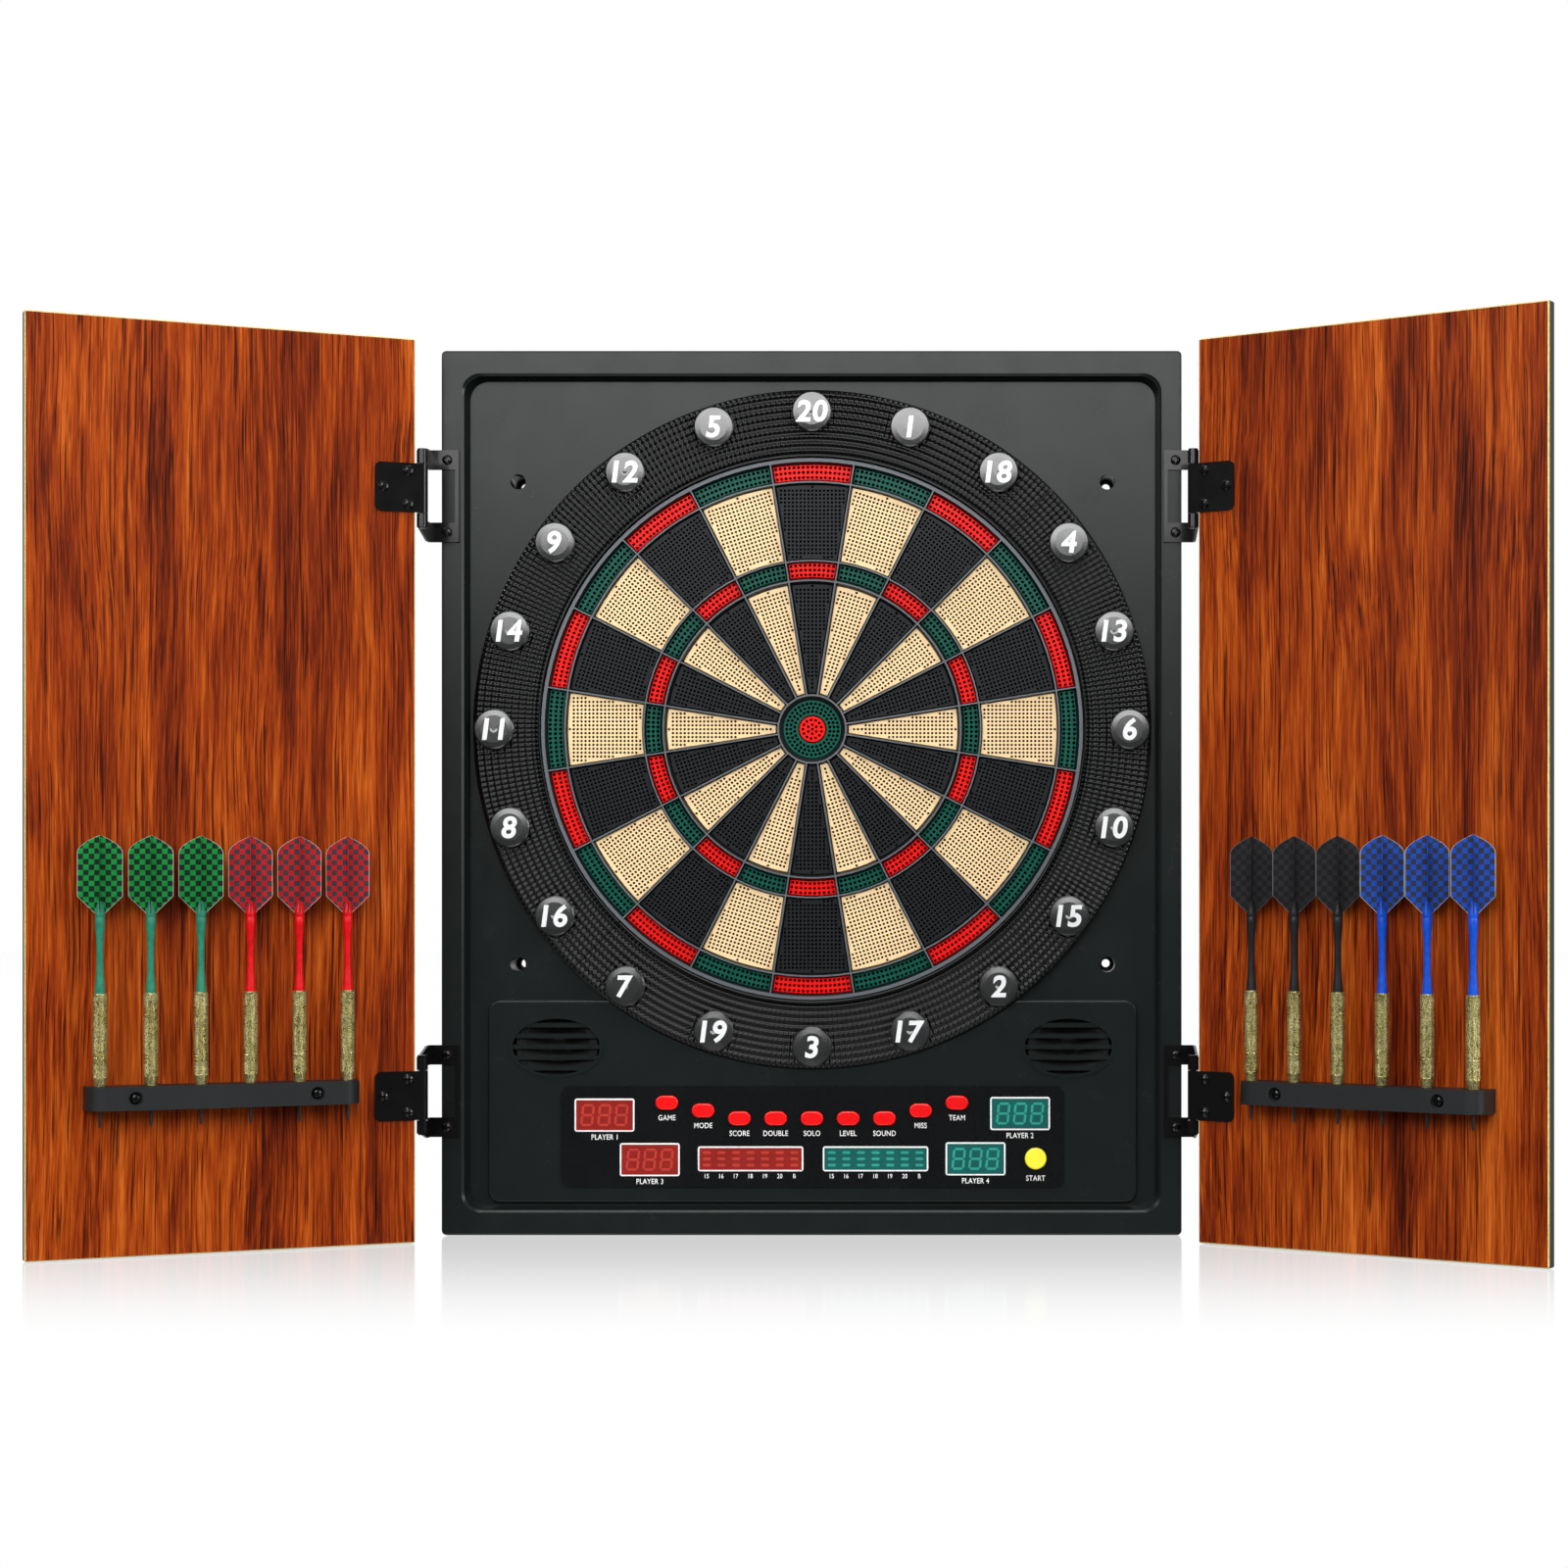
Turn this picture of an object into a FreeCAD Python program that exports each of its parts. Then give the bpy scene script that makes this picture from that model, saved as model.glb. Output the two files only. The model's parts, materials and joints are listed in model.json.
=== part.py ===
"""Electronic dartboard in a wall case with two hinged doors.

Millimetres. +Z is up, the front faces -Y and the wall plane is y = 0.
The bull's axis is the Y axis, so the origin lies on the rear face behind the bull.
Doors and darts are drawn with the doors closed, then turned to the open rest position.
"""
import FreeCAD, Part

import math
import os

from FreeCAD import Vector

# case
CASE_X = 236.0
CASE_TOP = 241.0
CASE_BOTTOM = -323.0
CASE_FRONT = -45.0
SPLIT_Y = -10.0
WALL = 2.5
CASE_R = 3.0
RECESS_X = 222.0
RECESS_TOP = 225.4
RECESS_BOTTOM = -307.4
RECESS_R = 12.0
RECESS_DRAFT = 2.5
FLOOR_FRONT = -33.0
FLOOR_BACK = FLOOR_FRONT + WALL
STEP_X = 208.0
STEP_TOP = -173.3
STEP_BOTTOM = -303.4
STEP_FRONT = -36.0
STEP_BACK = STEP_FRONT + WALL
WALL_HOLE_X = 189.0
WALL_HOLE_UP = 4.1
WALL_HOLE_Z = 154.8
WALL_HOLE_R = 2.6
TUBE_BORE_R = 4.9
TUBE_R = 7.4
EDGE_R = 1.2
STEP_EDGE_R = 1.5

# target: ring radii, then depths
BULL_IN_R = 8.3
BULL_OUT = (9.0, 18.6)
SINGLE_IN = (23.3, 93.0)
TRIPLE = (97.3, 106.5)
SINGLE_OUT = (109.0, 156.5)
DOUBLE = (159.6, 169.3)
SECTORS = 20
SECTOR_DEG = 360.0 / SECTORS
WEDGE_GAP = 2.6
WELL_GAP = 0.35
SIDE_DRAFT = 0.5
BULL_DRAFT = 2.2
# draft of each ring's wells on the inner and outer arc
ARC_DRAFTS = {
    SINGLE_IN: (0.8, 1.3),
    TRIPLE: (1.3, 0.45),
    SINGLE_OUT: (0.45, 0.7),
    DOUBLE: (0.7, 1.3),
}
SEG_FRONT = -37.0
SPIDER_FRONT = -40.0
SPIDER_R = 173.2
SPIDER_BACK = -27.5
SPIDER_FLANGE_R = 192.0
FLOOR_HOLE_R = 176.2
SEG_FLANGE = (-27.2, -25.7)
SEG_LIP = 0.9
BULL_BORE_TAPER = 1.2
BULL_PEG_TAPER = 0.8
MAT_Y = (-24.2, -22.7)
SHEET_Y = (-22.7, -22.2)
BACKING_Y = (-22.2, -19.2)
TARGET_SCREW_R = 187.0

# catch ring and number discs
RING_R = (173.9, 217.0)
RING_FRONT = -40.5
DISC_R = 12.7
DISC_AT = 203.0

# control area
PLATE_X = 161.0
PLATE_Z = (-293.3, -228.2)
PLATE_Y = (-37.2, STEP_FRONT)
WINDOW_Y = (-37.5, -35.0)
WINDOW_BORDER = 1.0
DIGIT_WINDOW = (38.3, 21.2)
MARK_WINDOW = (67.5, 16.0)
RED_WINDOWS = ((-133.0, -247.0, DIGIT_WINDOW), (-104.0, -275.5, DIGIT_WINDOW), (-39.5, -275.0, MARK_WINDOW))
GREEN_WINDOWS = ((133.0, -246.0, DIGIT_WINDOW), (104.5, -275.0, DIGIT_WINDOW), (40.5, -275.0, MARK_WINDOW))
BUTTON_NAMES = ("game", "mode", "score", "double", "solo", "level", "sound", "miss", "team")
BUTTON_X0 = -93.0
BUTTON_PITCH = 23.2
BUTTON_Z = (-239.0, -244.0, -249.0, -249.0, -249.0, -249.0, -249.0, -244.0, -239.0)
BUTTON_SIZE = (14.5, 9.0)
START_AT = (143.0, -274.8)
START_R = 6.9
BUTTON_GAP = 0.35
BUTTON_FRONT = -39.5
BUTTON_FLANGE = (-33.2, -31.3)
KEYPAD_Y = (-29.6, -28.0)
BOARD_Y = (-28.0, -26.4)
BOARD_X = 160.0
BOARD_Z = (-300.0, -231.0)
BOARD_SCREWS = ((79.0, -261.5), (79.0, -292.0), (155.5, -263.0))
SPEAKER_AT = (164.0, -203.3)
GRILLE_A = 30.0
GRILLE_B = 20.0
GRILLE_PITCH = 6.9
GRILLE_SLOT = 4.0
GRILLE_SLOTS = 6
JACK_AT = (-150.0, -22.0)
JACK_R = 2.8

# doors and hinges
DOOR_X = (1.5, 236.0)
DOOR_BACK = -81.0
DOOR_T = 8.4
LEAF_T = 1.2
PIN_X = 241.0
PIN_R = 2.0
KNUCKLE_R = 3.5
KNUCKLE_BORE = 2.05
ARM_BORE = 2.02
PIN_Y = DOOR_BACK + LEAF_T - KNUCKLE_R
HINGE_Z = (148.0, -231.0)
HINGE_HALF = 29.3
FOOT_H = 12.5
KNUCKLE_TOP = 24.0
FOOT_IN = 224.5
STEEL = 1.5
LEAF_HALF = 15.3
LEAF_IN = 210.4
LEAF_SCREWS = ((231.4, 10.4), (231.4, -10.4), (215.8, 0.0))
LEFT_OPEN = 180.0 - 25.0
RIGHT_OPEN = 180.0 - 33.5

# holders and darts, on a closed right door
HOLDER_X = 116.4
HOLDER_HALF = 81.4
HOLDER_Z = (-233.6, -219.5)
HOLDER_DEPTH = 22.0
HOLDER_SCREW = 54.0
HOLDER_HOLE_R = 2.2
DART_PITCH = 29.5
DART_OUT = 15.0
DART_TIP_BELOW = 9.9
TIP_LEN = 24.2
TIP_R = 1.1
BARREL_LEN = 55.3
BARREL_R = 4.25
SHAFT_LEN = 47.7
FLIGHT_LEN = 46.3
FLIGHT_HALF = 13.0
FLIGHT_T = 0.4
LEFT_WING_TURN = 11.0
RIGHT_WING_TURN = 27.0

Y_AXIS = Vector(0, 1, 0)
Z_AXIS = Vector(0, 0, 1)
ORIGIN = Vector(0, 0, 0)


# basic solids
def block(x0, x1, y0, y1, z0, z1):
    return Part.makeBox(x1 - x0, y1 - y0, z1 - z0, Vector(x0, y0, z0))


def disc(r, y0, y1, x=0.0, z=0.0):
    return Part.makeCylinder(r, y1 - y0, Vector(x, y0, z), Y_AXIS)


def rounded_wire(x0, x1, z0, z1, r, y):
    """Rounded rectangle in the plane y."""
    corner = r * (1.0 - math.sqrt(0.5))
    line = Part.LineSegment
    arc = Part.Arc
    edges = [
        line(Vector(x0 + r, y, z0), Vector(x1 - r, y, z0)),
        arc(Vector(x1 - r, y, z0), Vector(x1 - corner, y, z0 + corner), Vector(x1, y, z0 + r)),
        line(Vector(x1, y, z0 + r), Vector(x1, y, z1 - r)),
        arc(Vector(x1, y, z1 - r), Vector(x1 - corner, y, z1 - corner), Vector(x1 - r, y, z1)),
        line(Vector(x1 - r, y, z1), Vector(x0 + r, y, z1)),
        arc(Vector(x0 + r, y, z1), Vector(x0 + corner, y, z1 - corner), Vector(x0, y, z1 - r)),
        line(Vector(x0, y, z1 - r), Vector(x0, y, z0 + r)),
        arc(Vector(x0, y, z0 + r), Vector(x0 + corner, y, z0 + corner), Vector(x0 + r, y, z0)),
    ]
    return Part.Wire([edge.toShape() for edge in edges])


def slab(x0, x1, z0, z1, r, y0, y1):
    """Rounded plate between two planes."""
    return Part.Face(rounded_wire(x0, x1, z0, z1, r, y0)).extrude(Vector(0, y1 - y0, 0))


def tapered_slab(bounds0, bounds1, r, y0, y1):
    """Rounded block whose outline changes from bounds0 at y0 to bounds1 at y1."""
    return Part.makeLoft([rounded_wire(*bounds0, r, y0), rounded_wire(*bounds1, r, y1)], True, True)


def stadium(width, height, y0, y1, x, z):
    r = height / 2.0
    reach = (width - height) / 2.0
    middle = block(x - reach, x + reach, y0, y1, z - r, z + r)
    return middle.fuse([disc(r, y0, y1, x - reach, z), disc(r, y0, y1, x + reach, z)]).removeSplitter()


def ellipse_prism(a, b, y0, y1, x, z):
    centre = Vector(x, y0, z)
    curve = Part.Ellipse(centre + Vector(a, 0, 0), centre + Vector(0, 0, b), centre)
    return Part.Face(Part.Wire([curve.toShape()])).extrude(Vector(0, y1 - y0, 0))


def lathe(profile):
    """Solid of revolution about Z from (radius, z) points, both ends on the axis."""
    points = [Vector(r, 0, z) for r, z in profile]
    face = Part.Face(Part.makePolygon(points + [points[0]]))
    return face.revolve(ORIGIN, Z_AXIS, 360)


def screw(r, length, head_r, head_h):
    """Domed cross-head screw along Z, its head above z = 0."""
    solid = lathe([(0, -length), (r * 0.6, -length), (r, -length + r), (r, 0),
                   (head_r, 0), (head_r, head_h * 0.35), (head_r * 0.7, head_h * 0.85),
                   (head_r * 0.35, head_h), (0, head_h)])
    arm = head_r * 0.6
    slot = 0.35
    for dx, dy in ((arm, slot), (slot, arm)):
        solid = solid.cut(Part.makeBox(2 * dx, 2 * dy, head_h, Vector(-dx, -dy, head_h * 0.4)))
    return solid


def flush_screw(r, length, head_r):
    """Countersunk screw along Z, its flat head ending at z = 0."""
    return lathe([(0, -length), (r * 0.5, -length), (r, -length + r), (r, -1.8), (head_r, 0), (0, 0)])


def facing_front(shape, x, y, z):
    """Turn a shape drawn along +Z so that +Z points to -Y, and place it."""
    turned = shape.copy()
    turned.rotate(ORIGIN, Vector(1, 0, 0), 90)
    turned.translate(Vector(x, y, z))
    return turned


def facing_back(shape, x, y, z):
    """Turn a shape drawn along +Z so that +Z points to +Y, and place it."""
    turned = shape.copy()
    turned.rotate(ORIGIN, Vector(1, 0, 0), -90)
    turned.translate(Vector(x, y, z))
    return turned


def mirrored(shape):
    return shape.mirror(ORIGIN, Vector(1, 0, 0))


def turned_about_y(shape, degrees):
    copy = shape.copy()
    copy.rotate(ORIGIN, Y_AXIS, degrees)
    return copy


def both_sides(shapes):
    return shapes + [mirrored(shape) for shape in shapes]


def eased_front(solid, radius):
    """Round the edges that lie in the solid's frontmost plane."""
    front = solid.BoundBox.YMin + 0.01
    return solid.makeFillet(radius, [edge for edge in solid.Edges if edge.BoundBox.YMax < front])


def export(name, solids):
    """Write one node; several solids become one compound."""
    shape = solids[0] if len(solids) == 1 else Part.makeCompound(solids)
    shape.exportStep("parts/" + name + ".step")


# positions shared by several parts
def case_boss_points():
    """Screw bosses in the side and end rims, as (x, z)."""
    rim_x = (CASE_X - WALL + RECESS_X + WALL) / 2.0
    rows = (CASE_TOP - 8.0, 55.0, -150.0, CASE_BOTTOM + 8.0)
    return [(side * rim_x, z) for side in (-1, 1) for z in rows]


def target_screw_points():
    angles = [math.radians(22.5 + 45.0 * k) for k in range(8)]
    return [(TARGET_SCREW_R * math.sin(a), TARGET_SCREW_R * math.cos(a)) for a in angles]


def wall_hole_points():
    return [(sx * WALL_HOLE_X, WALL_HOLE_UP + sz * WALL_HOLE_Z) for sx in (-1, 1) for sz in (-1, 1)]


def board_screw_points():
    return [(side * x, z) for side in (-1, 1) for x, z in BOARD_SCREWS]


def bracket_screw_points():
    reach = HINGE_HALF - FOOT_H / 2.0
    return [(232.0, z + side * reach) for z in HINGE_Z for side in (-1, 1)]


def button_points():
    return [(BUTTON_X0 + BUTTON_PITCH * i, z) for i, z in enumerate(BUTTON_Z)]


def window_bounds(window, grow=0.0):
    x, z, size = window
    half_w = size[0] / 2.0 - WINDOW_BORDER + grow
    half_h = size[1] / 2.0 - WINDOW_BORDER + grow
    return x - half_w, x + half_w, z - half_h, z + half_h


# case
def recess_bounds(grow):
    return (-RECESS_X - grow, RECESS_X + grow, RECESS_BOTTOM - grow, RECESS_TOP + grow)


def control_openings(grow, y0, y1):
    """Cutters for the buttons and windows, wider than them by grow."""
    width, height = BUTTON_SIZE
    cutters = [stadium(width + 2 * grow, height + 2 * grow, y0, y1, x, z) for x, z in button_points()]
    cutters.append(disc(START_R + grow, y0, y1, *START_AT))
    for window in RED_WINDOWS + GREEN_WINDOWS:
        x0, x1, z0, z1 = window_bounds(window, 0.1)
        cutters.append(block(x0, x1, y0, y1, z0, z1))
    return cutters


def grille_slots(x, z):
    """Horizontal slots cut to the shape of the oval grille."""
    oval = ellipse_prism(GRILLE_A - 2.0, GRILLE_B - 2.0, STEP_FRONT - 2, STEP_BACK + 1, x, z)
    slots = []
    for k in range(GRILLE_SLOTS):
        mid = z + (k - (GRILLE_SLOTS - 1) / 2.0) * GRILLE_PITCH
        band = block(x - GRILLE_A, x + GRILLE_A, STEP_FRONT - 2, STEP_BACK + 1,
                     mid - GRILLE_SLOT / 2.0, mid + GRILLE_SLOT / 2.0)
        slots.append(oval.common(band))
    return slots


def front_shell():
    body = slab(-CASE_X, CASE_X, CASE_BOTTOM, CASE_TOP, CASE_R, CASE_FRONT, SPLIT_Y)
    body = eased_front(body, EDGE_R)
    body = body.cut(slab(-CASE_X + WALL, CASE_X - WALL, CASE_BOTTOM + WALL, CASE_TOP - WALL, 1.0,
                         CASE_FRONT + WALL, SPLIT_Y + 1))
    tub = tapered_slab(recess_bounds(WALL), recess_bounds(WALL - RECESS_DRAFT), RECESS_R,
                       CASE_FRONT, FLOOR_BACK)
    body = body.fuse(tub)
    body = body.cut(tapered_slab(recess_bounds(0.0), recess_bounds(-RECESS_DRAFT), RECESS_R,
                                 CASE_FRONT, FLOOR_FRONT))
    body = body.cut(tapered_slab(recess_bounds(EDGE_R), recess_bounds(-0.2), RECESS_R,
                                 CASE_FRONT, CASE_FRONT + EDGE_R))
    # raised lower area, hollow behind, cut back to the catch ring
    ring_clear = disc(RING_R[1] + 0.8, STEP_FRONT - 1, FLOOR_FRONT)
    step = slab(-STEP_X, STEP_X, STEP_BOTTOM, STEP_TOP, 8.0, STEP_FRONT, FLOOR_BACK)
    step = eased_front(step, STEP_EDGE_R).cut(ring_clear)
    body = body.fuse(step)
    inner_clear = disc(RING_R[1] + 0.8 + WALL, STEP_BACK - 1, FLOOR_BACK + 1)
    hollow = slab(-STEP_X + WALL, STEP_X - WALL, STEP_BOTTOM + WALL, STEP_TOP - WALL, 5.5,
                  STEP_BACK, FLOOR_BACK + 1).cut(inner_clear)
    body = body.cut(hollow)
    # screw bosses and wall tubes
    extras = [disc(4.0, CASE_FRONT + 1, -2.5, x, z) for x, z in case_boss_points()]
    extras += [disc(TUBE_R, FLOOR_FRONT + 1, -2.5, x, z) for x, z in wall_hole_points()]
    extras += [disc(3.0, STEP_FRONT + 1, BOARD_Y[0], x, z) for x, z in board_screw_points()]
    extras += both_sides([disc(3.6, CASE_FRONT + 1, CASE_FRONT + 12, x, z)
                          for x, z in bracket_screw_points()])
    for side in (-1, 1):
        x, z = side * SPEAKER_AT[0], SPEAKER_AT[1]
        rim = ellipse_prism(GRILLE_A, GRILLE_B, STEP_FRONT - 1.0, STEP_FRONT + 1.0, x, z)
        extras.append(rim.cut(ellipse_prism(GRILLE_A - 2.0, GRILLE_B - 2.0, STEP_FRONT - 2, STEP_FRONT + 2,
                                            x, z)))
    body = body.fuse(extras)
    cutters = [disc(FLOOR_HOLE_R, FLOOR_FRONT - 1, FLOOR_BACK + 1)]
    cutters += [disc(1.5, -18.0, -1.0, x, z) for x, z in case_boss_points()]
    cutters += [disc(TUBE_BORE_R, CASE_FRONT, 0, x, z) for x, z in wall_hole_points()]
    cutters += [disc(1.25, STEP_FRONT + 1.5, BOARD_Y[1], x, z) for x, z in board_screw_points()]
    cutters += [disc(1.55, FLOOR_FRONT + 0.4, FLOOR_BACK + 1, x, z) for x, z in target_screw_points()]
    cutters += both_sides([disc(1.55, CASE_FRONT - 1, CASE_FRONT + 10, x, z)
                           for x, z in bracket_screw_points()])
    cutters += control_openings(BUTTON_GAP, STEP_FRONT - 1, STEP_BACK + 1)
    for side in (-1, 1):
        cutters += grille_slots(side * SPEAKER_AT[0], SPEAKER_AT[1])
    jack_x, jack_y = JACK_AT
    cutters.append(Part.makeCylinder(4.5, 6, Vector(jack_x, jack_y, CASE_BOTTOM - 1), Z_AXIS))
    return body.cut(cutters).removeSplitter()


def rear_shell():
    plate = slab(-CASE_X, CASE_X, CASE_BOTTOM, CASE_TOP, CASE_R, SPLIT_Y, 0)
    body = plate.cut(slab(-CASE_X + WALL, CASE_X - WALL, CASE_BOTTOM + WALL, CASE_TOP - WALL, 1.0,
                          SPLIT_Y - 1, -WALL))
    lip_out = WALL + 0.15
    lip_in = lip_out + 1.6
    lip = slab(-CASE_X + lip_out, CASE_X - lip_out, CASE_BOTTOM + lip_out, CASE_TOP - lip_out, 1.0,
               SPLIT_Y - 2.5, -WALL)
    lip = lip.cut(slab(-CASE_X + lip_in, CASE_X - lip_in, CASE_BOTTOM + lip_in, CASE_TOP - lip_in, 1.0,
                       SPLIT_Y - 4, 0))
    joined = [lip]
    for x in (-120.0, 0.0, 120.0):
        joined.append(block(x - 0.8, x + 0.8, -8.5, -1, CASE_BOTTOM + lip_in - 0.5, CASE_TOP - lip_in + 0.5))
    for z in (-200.0, -80.0, 40.0, 200.0):
        joined.append(block(-CASE_X + lip_in - 0.5, CASE_X - lip_in + 0.5, -8.5, -1, z - 0.8, z + 0.8))
    body = body.fuse(joined)
    cutters = [disc(4.3, SPLIT_Y - 4, -WALL, x, z) for x, z in case_boss_points()]
    cutters += [Part.makeCone(1.5, 3.2, 1.8, Vector(x, -1.8, z), Y_AXIS) for x, z in case_boss_points()]
    cutters += [disc(1.6, -WALL - 1, 1, x, z) for x, z in case_boss_points()]
    cutters += [disc(WALL_HOLE_R, -WALL - 1, 1, x, z) for x, z in wall_hole_points()]
    return body.cut(cutters).removeSplitter()


# target
def wedge_wire(r_in, r_out, inset, y):
    """Outline of one sector about +Z; its straight sides lie inset inside the sector's boundaries."""
    half = math.radians(SECTOR_DEG / 2.0)

    def point(r, share):
        angle = (half - math.asin(inset / r)) * share
        return Vector(r * math.sin(angle), y, r * math.cos(angle))

    edges = [
        Part.Arc(point(r_out, -1), point(r_out, 0), point(r_out, 1)),
        Part.LineSegment(point(r_out, 1), point(r_in, 1)),
        Part.Arc(point(r_in, 1), point(r_in, 0), point(r_in, -1)),
        Part.LineSegment(point(r_in, -1), point(r_out, -1)),
    ]
    return Part.Wire([edge.toShape() for edge in edges])


def wedge(band, grow, y0, y1):
    wire = wedge_wire(band[0] - grow, band[1] + grow, WEDGE_GAP / 2.0 - grow, y0)
    return Part.Face(wire).extrude(Vector(0, y1 - y0, 0))


def wedge_draft(band):
    """The widening mouth of a sector's well, from the segment's face to the front of the spider."""
    draft_in, draft_out = ARC_DRAFTS[band]
    deep = wedge_wire(band[0] - WELL_GAP, band[1] + WELL_GAP, WEDGE_GAP / 2.0 - WELL_GAP, SEG_FRONT)
    mouth = wedge_wire(band[0] - WELL_GAP - draft_in, band[1] + WELL_GAP + draft_out,
                       WEDGE_GAP / 2.0 - WELL_GAP - SIDE_DRAFT, SPIDER_FRONT)
    return Part.makeLoft([deep, mouth], True, True)


def spider():
    body = disc(SPIDER_R, SPIDER_FRONT, FLOOR_BACK)
    flange = disc(SPIDER_FLANGE_R, FLOOR_BACK, SPIDER_BACK)
    spacers = [disc(4.5, SPIDER_BACK, BACKING_Y[0], x, z) for x, z in target_screw_points()]
    body = body.fuse([flange] + spacers)
    cutters = []
    for band in (SINGLE_IN, TRIPLE, SINGLE_OUT, DOUBLE):
        well = wedge(band, WELL_GAP, SEG_FRONT - 0.5, SPIDER_BACK + 1)
        mouth = wedge_draft(band)
        for k in range(SECTORS):
            cutters.append(turned_about_y(well, k * SECTOR_DEG))
            cutters.append(turned_about_y(mouth, k * SECTOR_DEG))
    bull_well = BULL_OUT[1] + WELL_GAP
    cutters.append(disc(bull_well, SPIDER_FRONT - 1, SPIDER_BACK + 1))
    cutters.append(Part.makeCone(bull_well + BULL_DRAFT, bull_well, SEG_FRONT - SPIDER_FRONT,
                                 Vector(0, SPIDER_FRONT, 0), Y_AXIS))
    cutters += [disc(1.55, FLOOR_BACK - 1, BACKING_Y[0] + 1, x, z) for x, z in target_screw_points()]
    return body.cut(cutters)


def ring_segments(band, first):
    """Every second segment of one scoring ring, each with a lip that holds it behind the spider."""
    one = wedge(band, 0.0, SEG_FRONT, SEG_FLANGE[0]).fuse(wedge(band, SEG_LIP, *SEG_FLANGE)).removeSplitter()
    return [turned_about_y(one, k * SECTOR_DEG) for k in range(first, SECTORS, 2)]


def bull_cone(radius, taper):
    """Cone about the bull's axis, as deep as a segment and wider at the back by the taper."""
    depth = SEG_FLANGE[1] - SEG_FRONT
    return Part.makeCone(radius, radius + taper, depth, Vector(0, SEG_FRONT, 0), Y_AXIS)


def bull_outer():
    """Green ring whose tapered bore keeps the centre from falling out at the front."""
    r_in, r_out = BULL_OUT
    body = disc(r_out, SEG_FRONT, SEG_FLANGE[1]).fuse(disc(r_out + SEG_LIP, *SEG_FLANGE))
    return body.cut(bull_cone(r_in, BULL_BORE_TAPER)).removeSplitter()


def bull_inner():
    return bull_cone(BULL_IN_R, BULL_PEG_TAPER)


def rubber_mat():
    return disc(177.0, *MAT_Y)


def sensor_sheet():
    """Printed switch sheet with a flat tail that plugs into the circuit board."""
    tail = block(-20, 20, *SHEET_Y, -238, -150)
    return disc(179.0, *SHEET_Y).fuse(tail).removeSplitter()


def backing_plate():
    plate = disc(SPIDER_FLANGE_R, *BACKING_Y)
    holes = [disc(1.55, BACKING_Y[0] - 1, BACKING_Y[1] + 1, x, z) for x, z in target_screw_points()]
    return plate.cut(holes)


def catch_ring():
    """Four quadrants of the outer ring: a moulded channel with a raised inner lip."""
    r_in, r_out = RING_R
    section = [(r_in, FLOOR_FRONT), (r_in, RING_FRONT - 1.0), (r_in + 1.5, RING_FRONT - 1.0),
               (r_in + 2.2, RING_FRONT), (r_out - 0.6, RING_FRONT), (r_out, RING_FRONT + 0.6),
               (r_out, FLOOR_FRONT), (r_out - 2.0, FLOOR_FRONT),
               (r_out - 2.0, RING_FRONT + 2.2), (r_in + 2.0, RING_FRONT + 2.2), (r_in + 2.0, FLOOR_FRONT)]
    points = [Vector(r, y, 0) for r, y in section]
    face = Part.Face(Part.makePolygon(points + [points[0]]))
    seam = math.degrees(0.2 / r_in)
    quadrant = face.revolve(ORIGIN, Y_AXIS, 90.0 - 2.0 * seam)
    return [turned_about_y(quadrant, 45.0 + seam + 90.0 * k) for k in range(4)]


def number_discs():
    """Domed discs that carry the sector numbers."""
    dome = lathe([(0, 0), (DISC_R, 0), (DISC_R, 1.6), (DISC_R - 0.8, 2.3), (DISC_R - 4.0, 2.7), (0, 2.9)])
    upright = facing_front(dome, 0, RING_FRONT, 0)
    discs = []
    for k in range(SECTORS):
        angle = math.radians(SECTOR_DEG * k)
        copy = upright.copy()
        copy.translate(Vector(DISC_AT * math.sin(angle), 0, DISC_AT * math.cos(angle)))
        discs.append(copy)
    return discs


# control area
def control_plate():
    plate = slab(-PLATE_X, PLATE_X, PLATE_Z[0], PLATE_Z[1], 6.0, *PLATE_Y)
    return plate.cut(control_openings(BUTTON_GAP, PLATE_Y[0] - 1, PLATE_Y[1] + 1))


def windows(places):
    lenses = []
    for window in places:
        x0, x1, z0, z1 = window_bounds(window)
        lenses.append(block(x0, x1, *WINDOW_Y, z0, z1))
    return lenses


def oval_button(x, z):
    width, height = BUTTON_SIZE
    cap = stadium(width, height, BUTTON_FRONT, BUTTON_FLANGE[0], x, z)
    front = [edge for edge in cap.Edges if edge.BoundBox.YMax < BUTTON_FRONT + 0.01]
    cap = cap.makeFillet(0.9, front)
    return cap.fuse(stadium(width + 2.4, height + 2.4, *BUTTON_FLANGE, x, z)).removeSplitter()


def start_button():
    x, z = START_AT
    cap = disc(START_R, BUTTON_FRONT, BUTTON_FLANGE[0], x, z)
    front = [edge for edge in cap.Edges if edge.BoundBox.YMax < BUTTON_FRONT + 0.01]
    cap = cap.makeFillet(1.0, front)
    return cap.fuse(disc(START_R + 1.3, *BUTTON_FLANGE, x, z)).removeSplitter()


def keypad():
    """Silicone contact pads behind the buttons."""
    row = slab(-102, 102, -256.8, -232, 3.0, *KEYPAD_Y)
    x, z = START_AT
    return [row, slab(x - 8.5, x + 8.5, z - 8.5, z + 8.5, 2.0, *KEYPAD_Y)]


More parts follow.
